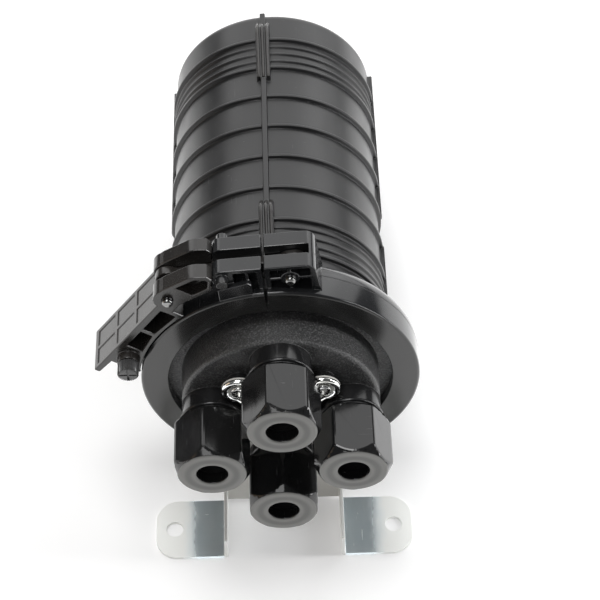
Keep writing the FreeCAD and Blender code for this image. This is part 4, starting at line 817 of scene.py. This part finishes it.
lock_low, lock_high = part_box("lock_screw")
lock_middle = middle_of("lock_screw")
lock_place = (lock_middle.x, lock_middle.z)
centre = Vector((lock_middle.x, 0, lock_middle.z))
knob_back = lock_low.y + LOCK_HEAD_H


def line_of(vert):
    """The number of the knurl line that a point lies on, kept off the halves that round either way."""
    around = math.atan2(vert.co.z - centre.z, vert.co.x - centre.x)
    return round(around * KNURLS / math.pi + OFF_HALF)


shape = bmesh.new()
head = rod(shape, LOCK_HEAD_R, lock_low.y, knob_back, lock_place, 2 * KNURLS)
pressed = [vert for vert in head if line_of(vert) % 2]
press = (PRESSED_TO, 1, PRESSED_TO)
bmesh.ops.scale(shape, verts=pressed, vec=press, space=Matrix.Translation(-centre))
round_end(shape, head, lock_low.y, LOCK_ROUND, LOCK_STEPS)
rod(shape, LOCK_SHANK_R, knob_back, lock_high.y, lock_place, SHANK_SIDES)
knurled_screw = finish_piece(shape, "knurled_screw", "lock", "latch_plastic", "knob_plastic")
cut_cross(knurled_screw, [lock_place], lock_low.y, **LOCK_CROSS)
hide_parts("lock_screw")
print("knurl:", len(pressed), "pressed points")

# %% [markdown]
# ## Ridges along the tie loops
# Along its top and bottom lines the dome has four loops for ties, and three fine ridges run over
# each. A ridge is a small round section drawn along the loop's outline. A bevelled curve would need
# turning into a mesh, so the circle is extruded from point to point, and then turned with the dome.

# %% Ridges along the tie loops
CLOCKED = math.radians(-5)
DOME_R = 66.5 * MM
RING_PITCH = 26.3 * MM
LOOP_STARTS = (92.4 * MM, 92.4 * MM + 6 * RING_PITCH)
RIDGE_PLACES = (-3.0 * MM, 0, 3.0 * MM)
RIDGE_HALF = 1.05 * MM
RIDGE_SIDES = 10
RIDGE_SMOOTH = 60
RIDGE_RUN = (
    (-10.5 * MM, 2.9 * MM), (-8 * MM, 3.5 * MM), (0, 3.5 * MM), (RING_PITCH, 7.4 * MM),
    (RING_PITCH + 4 * MM, 7.8 * MM), (RING_PITCH + 7 * MM, 7.3 * MM), (RING_PITCH + 13 * MM, 3.4 * MM))


def loop_ridge(shape, across, start, half_turn):
    first_y, first_rise = RIDGE_RUN[0]
    section = bmesh.ops.create_circle(shape, radius=RIDGE_HALF, segments=RIDGE_SIDES)["verts"]
    spot = AXIS + Vector((across, start + first_y, DOME_R + first_rise))
    bmesh.ops.transform(shape, matrix=Matrix.Translation(spot) @ TO_Y, verts=section)
    made = list(section)
    edges = edges_of(section)
    for (y, rise), (next_y, next_rise) in zip(RIDGE_RUN, RIDGE_RUN[1:]):
        drawn = bmesh.ops.extrude_edge_only(shape, edges=edges)["geom"]
        moved = only(drawn, bmesh.types.BMVert)
        bmesh.ops.translate(shape, verts=moved, vec=(0, next_y - y, next_rise - rise))
        edges = [edge for edge in only(drawn, bmesh.types.BMEdge) if set(edge.verts) <= set(moved)]
        made += moved
    turn = Matrix.Rotation(CLOCKED + half_turn, 3, "Y")
    bmesh.ops.rotate(shape, verts=made, cent=AXIS, matrix=turn)


shape = bmesh.new()
for start in LOOP_STARTS:
    for across in RIDGE_PLACES:
        for half_turn in (0, math.pi):
            loop_ridge(shape, across, start, half_turn)
bmesh.ops.holes_fill(shape, edges=shape.edges, sides=RIDGE_SIDES)
finish_piece(shape, "loop_ridges", "closure", "dome_plastic", "latch_plastic", smooth=RIDGE_SMOOTH)

# %% [markdown]
# ## Lips of the port collars
# Just behind each nut the collar of the port has a thin raised lip. A ready-made ring from the menu
# would have to be turned and placed, so a small circle is spun once round the port's axis instead.
# Merging the last step with the first closes it without a seam.

# %% Lips of the port collars
COLLAR_R = 18.5 * MM
LIP_R = 1.2 * MM
LIP_LIFT = 3.6 * MM
LIP_SIDES = 12
LIP_STEPS = 72

shape = bmesh.new()
for side in SIDES:
    low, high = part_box(f"gland_nut_{side}")
    middle = (low + high) / 2
    lip_y = high.y + LIP_LIFT
    section = bmesh.ops.create_circle(shape, radius=LIP_R, segments=LIP_SIDES)["verts"]
    bmesh.ops.translate(shape, verts=section, vec=(middle.x + COLLAR_R, lip_y, middle.z))
    bmesh.ops.spin(
        shape, geom=[*section, *edges_of(section)], cent=middle, axis=(0, 1, 0), angle=math.tau,
        steps=LIP_STEPS, use_merge=True)
finish_piece(shape, "collar_lips", "closure", "base_plastic")

# %% [markdown]
# ## Ends of the latch pins
# The lever's pin and the link's pin end in small domes that catch the light. Half a ball would do,
# but a rivet's end is flatter in the middle, so a short round bar gets one broadly rounded edge. Each
# dome rides on the body of its pin.

# %% Ends of the latch pins
DOME_RISE = 1.9 * MM
DOME_ROOT = 0.5 * MM
DOME_SHARE = 0.97
DOME_ROUND = 0.95 * DOME_RISE
DOME_STEPS = 8
DOME_SMOOTH = 60


def pin_dome(pin, body):
    low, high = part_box(pin)
    middle = middle_of(pin)
    radius = DOME_SHARE * (high.x - low.x) / 2
    front = low.y - DOME_RISE
    shape = bmesh.new()
    bar = rod(shape, radius, front, low.y + DOME_ROOT, (middle.x, middle.z))
    round_end(shape, bar, front, DOME_ROUND, DOME_STEPS)
    finish_piece(shape, f"{pin}_dome", body, "pin_steel", "grey_steel", smooth=DOME_SMOOTH)


pin_dome("lever_pin", "lever")
pin_dome("link_pin", "clamp_half")

# %% [markdown]
# ## Pads in the lever's windows
# The lever's outer wall has six sunk panels, and on the real lever they are shallow. The measured
# wall's windows are deeper, so a pad fills the lower part of each. Their outlines could be typed in,
# but the mesh has them already: the windows' floors are picked from a copy of the lever, by their
# direction and their distance from the dome's axis, and extruded outwards.

# %% Pads in the lever's windows
LEVER_TURN = math.radians(55.5)
WINDOW_FLOOR = 100.5 * MM
FLOOR_REACH = 0.1 * MM
SAME_WAY = 0.999
MERGE_REACH = 1e-6
PAD_RISE = 0.85 * MM
FLAT_PAD = math.radians(1)

outward = Vector((-math.sin(LEVER_TURN), 0, math.cos(LEVER_TURN)))


def is_window_floor(face):
    depth = (face.calc_center_median() - AXIS).dot(outward)
    return face.normal.dot(outward) > SAME_WAY and abs(depth - WINDOW_FLOOR) < FLOOR_REACH


shape = bmesh.new()
shape.from_mesh(nodes["latch_lever"].data)
bmesh.ops.remove_doubles(shape, verts=shape.verts, dist=MERGE_REACH)
others = [face for face in shape.faces if not is_window_floor(face)]
bmesh.ops.delete(shape, geom=others, context="FACES")
raised = bmesh.ops.extrude_face_region(shape, geom=shape.faces[:], use_keep_orig=True)["geom"]
bmesh.ops.translate(shape, verts=only(raised, bmesh.types.BMVert), vec=outward * PAD_RISE)
bmesh.ops.dissolve_limit(shape, angle_limit=FLAT_PAD, verts=shape.verts, edges=shape.edges)
finish_piece(shape, "window_pads", "lever", "latch_plastic")

# %% [markdown]
# ## Soft edges
# No moulded or pressed edge is sharp to a knife's width: the tool's corner and the cooling melt
# round it by a few tenths of a millimetre, and that small round catches the light as a thin line.
# Each edge could be bevelled in the mesh, but the measured mesh has to stay as it is. So modifiers
# on top of it join its triangles into plain faces, round the edges where two faces meet at an angle,
# and even out the shading of the faces between them.

# %% Soft edges
SHARP_ANGLE = math.radians(28)
PLAIN_ANGLE = math.radians(0.5)
EDGE_STEPS = 2
edge_rounds = {
    "dome": 0.55 * MM, "base": 0.4 * MM, "clamp_left": 0.45 * MM, "clamp_right": 0.45 * MM,
    "latch_lever": 0.6 * MM, "latch_link": 0.6 * MM, "mount_bracket": 0.35 * MM,
    "lever_pin": 0.3 * MM, "link_pin": 0.3 * MM, **{f"gland_nut_{side}": 1.0 * MM for side in SIDES}}


def soften(piece, width):
    joined = piece.modifiers.new("join_corners", "WELD")
    joined.merge_threshold = MERGE_REACH
    plain = piece.modifiers.new("plain_faces", "DECIMATE")
    plain.decimate_type = "DISSOLVE"
    plain.angle_limit = PLAIN_ANGLE
    edge = piece.modifiers.new("soft_edges", "BEVEL")
    edge.width = width
    edge.segments = EDGE_STEPS
    edge.limit_method = "ANGLE"
    edge.angle_limit = SHARP_ANGLE
    edge.use_clamp_overlap = False
    shade = piece.modifiers.new("even_shading", "WEIGHTED_NORMAL")
    shade.keep_sharp = True


for name, width in edge_rounds.items():
    soften(nodes[name], width)
print("softened the edges of", len(edge_rounds), "pieces")

# %% [markdown]
# ## Sizes
# Looks must not change the object's size. A ruler on the picture would be rough, so the dressed model's box
# is measured and printed.

# %% Sizes
low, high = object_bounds()
print("visual box", [round(v, 4) for v in high - low])
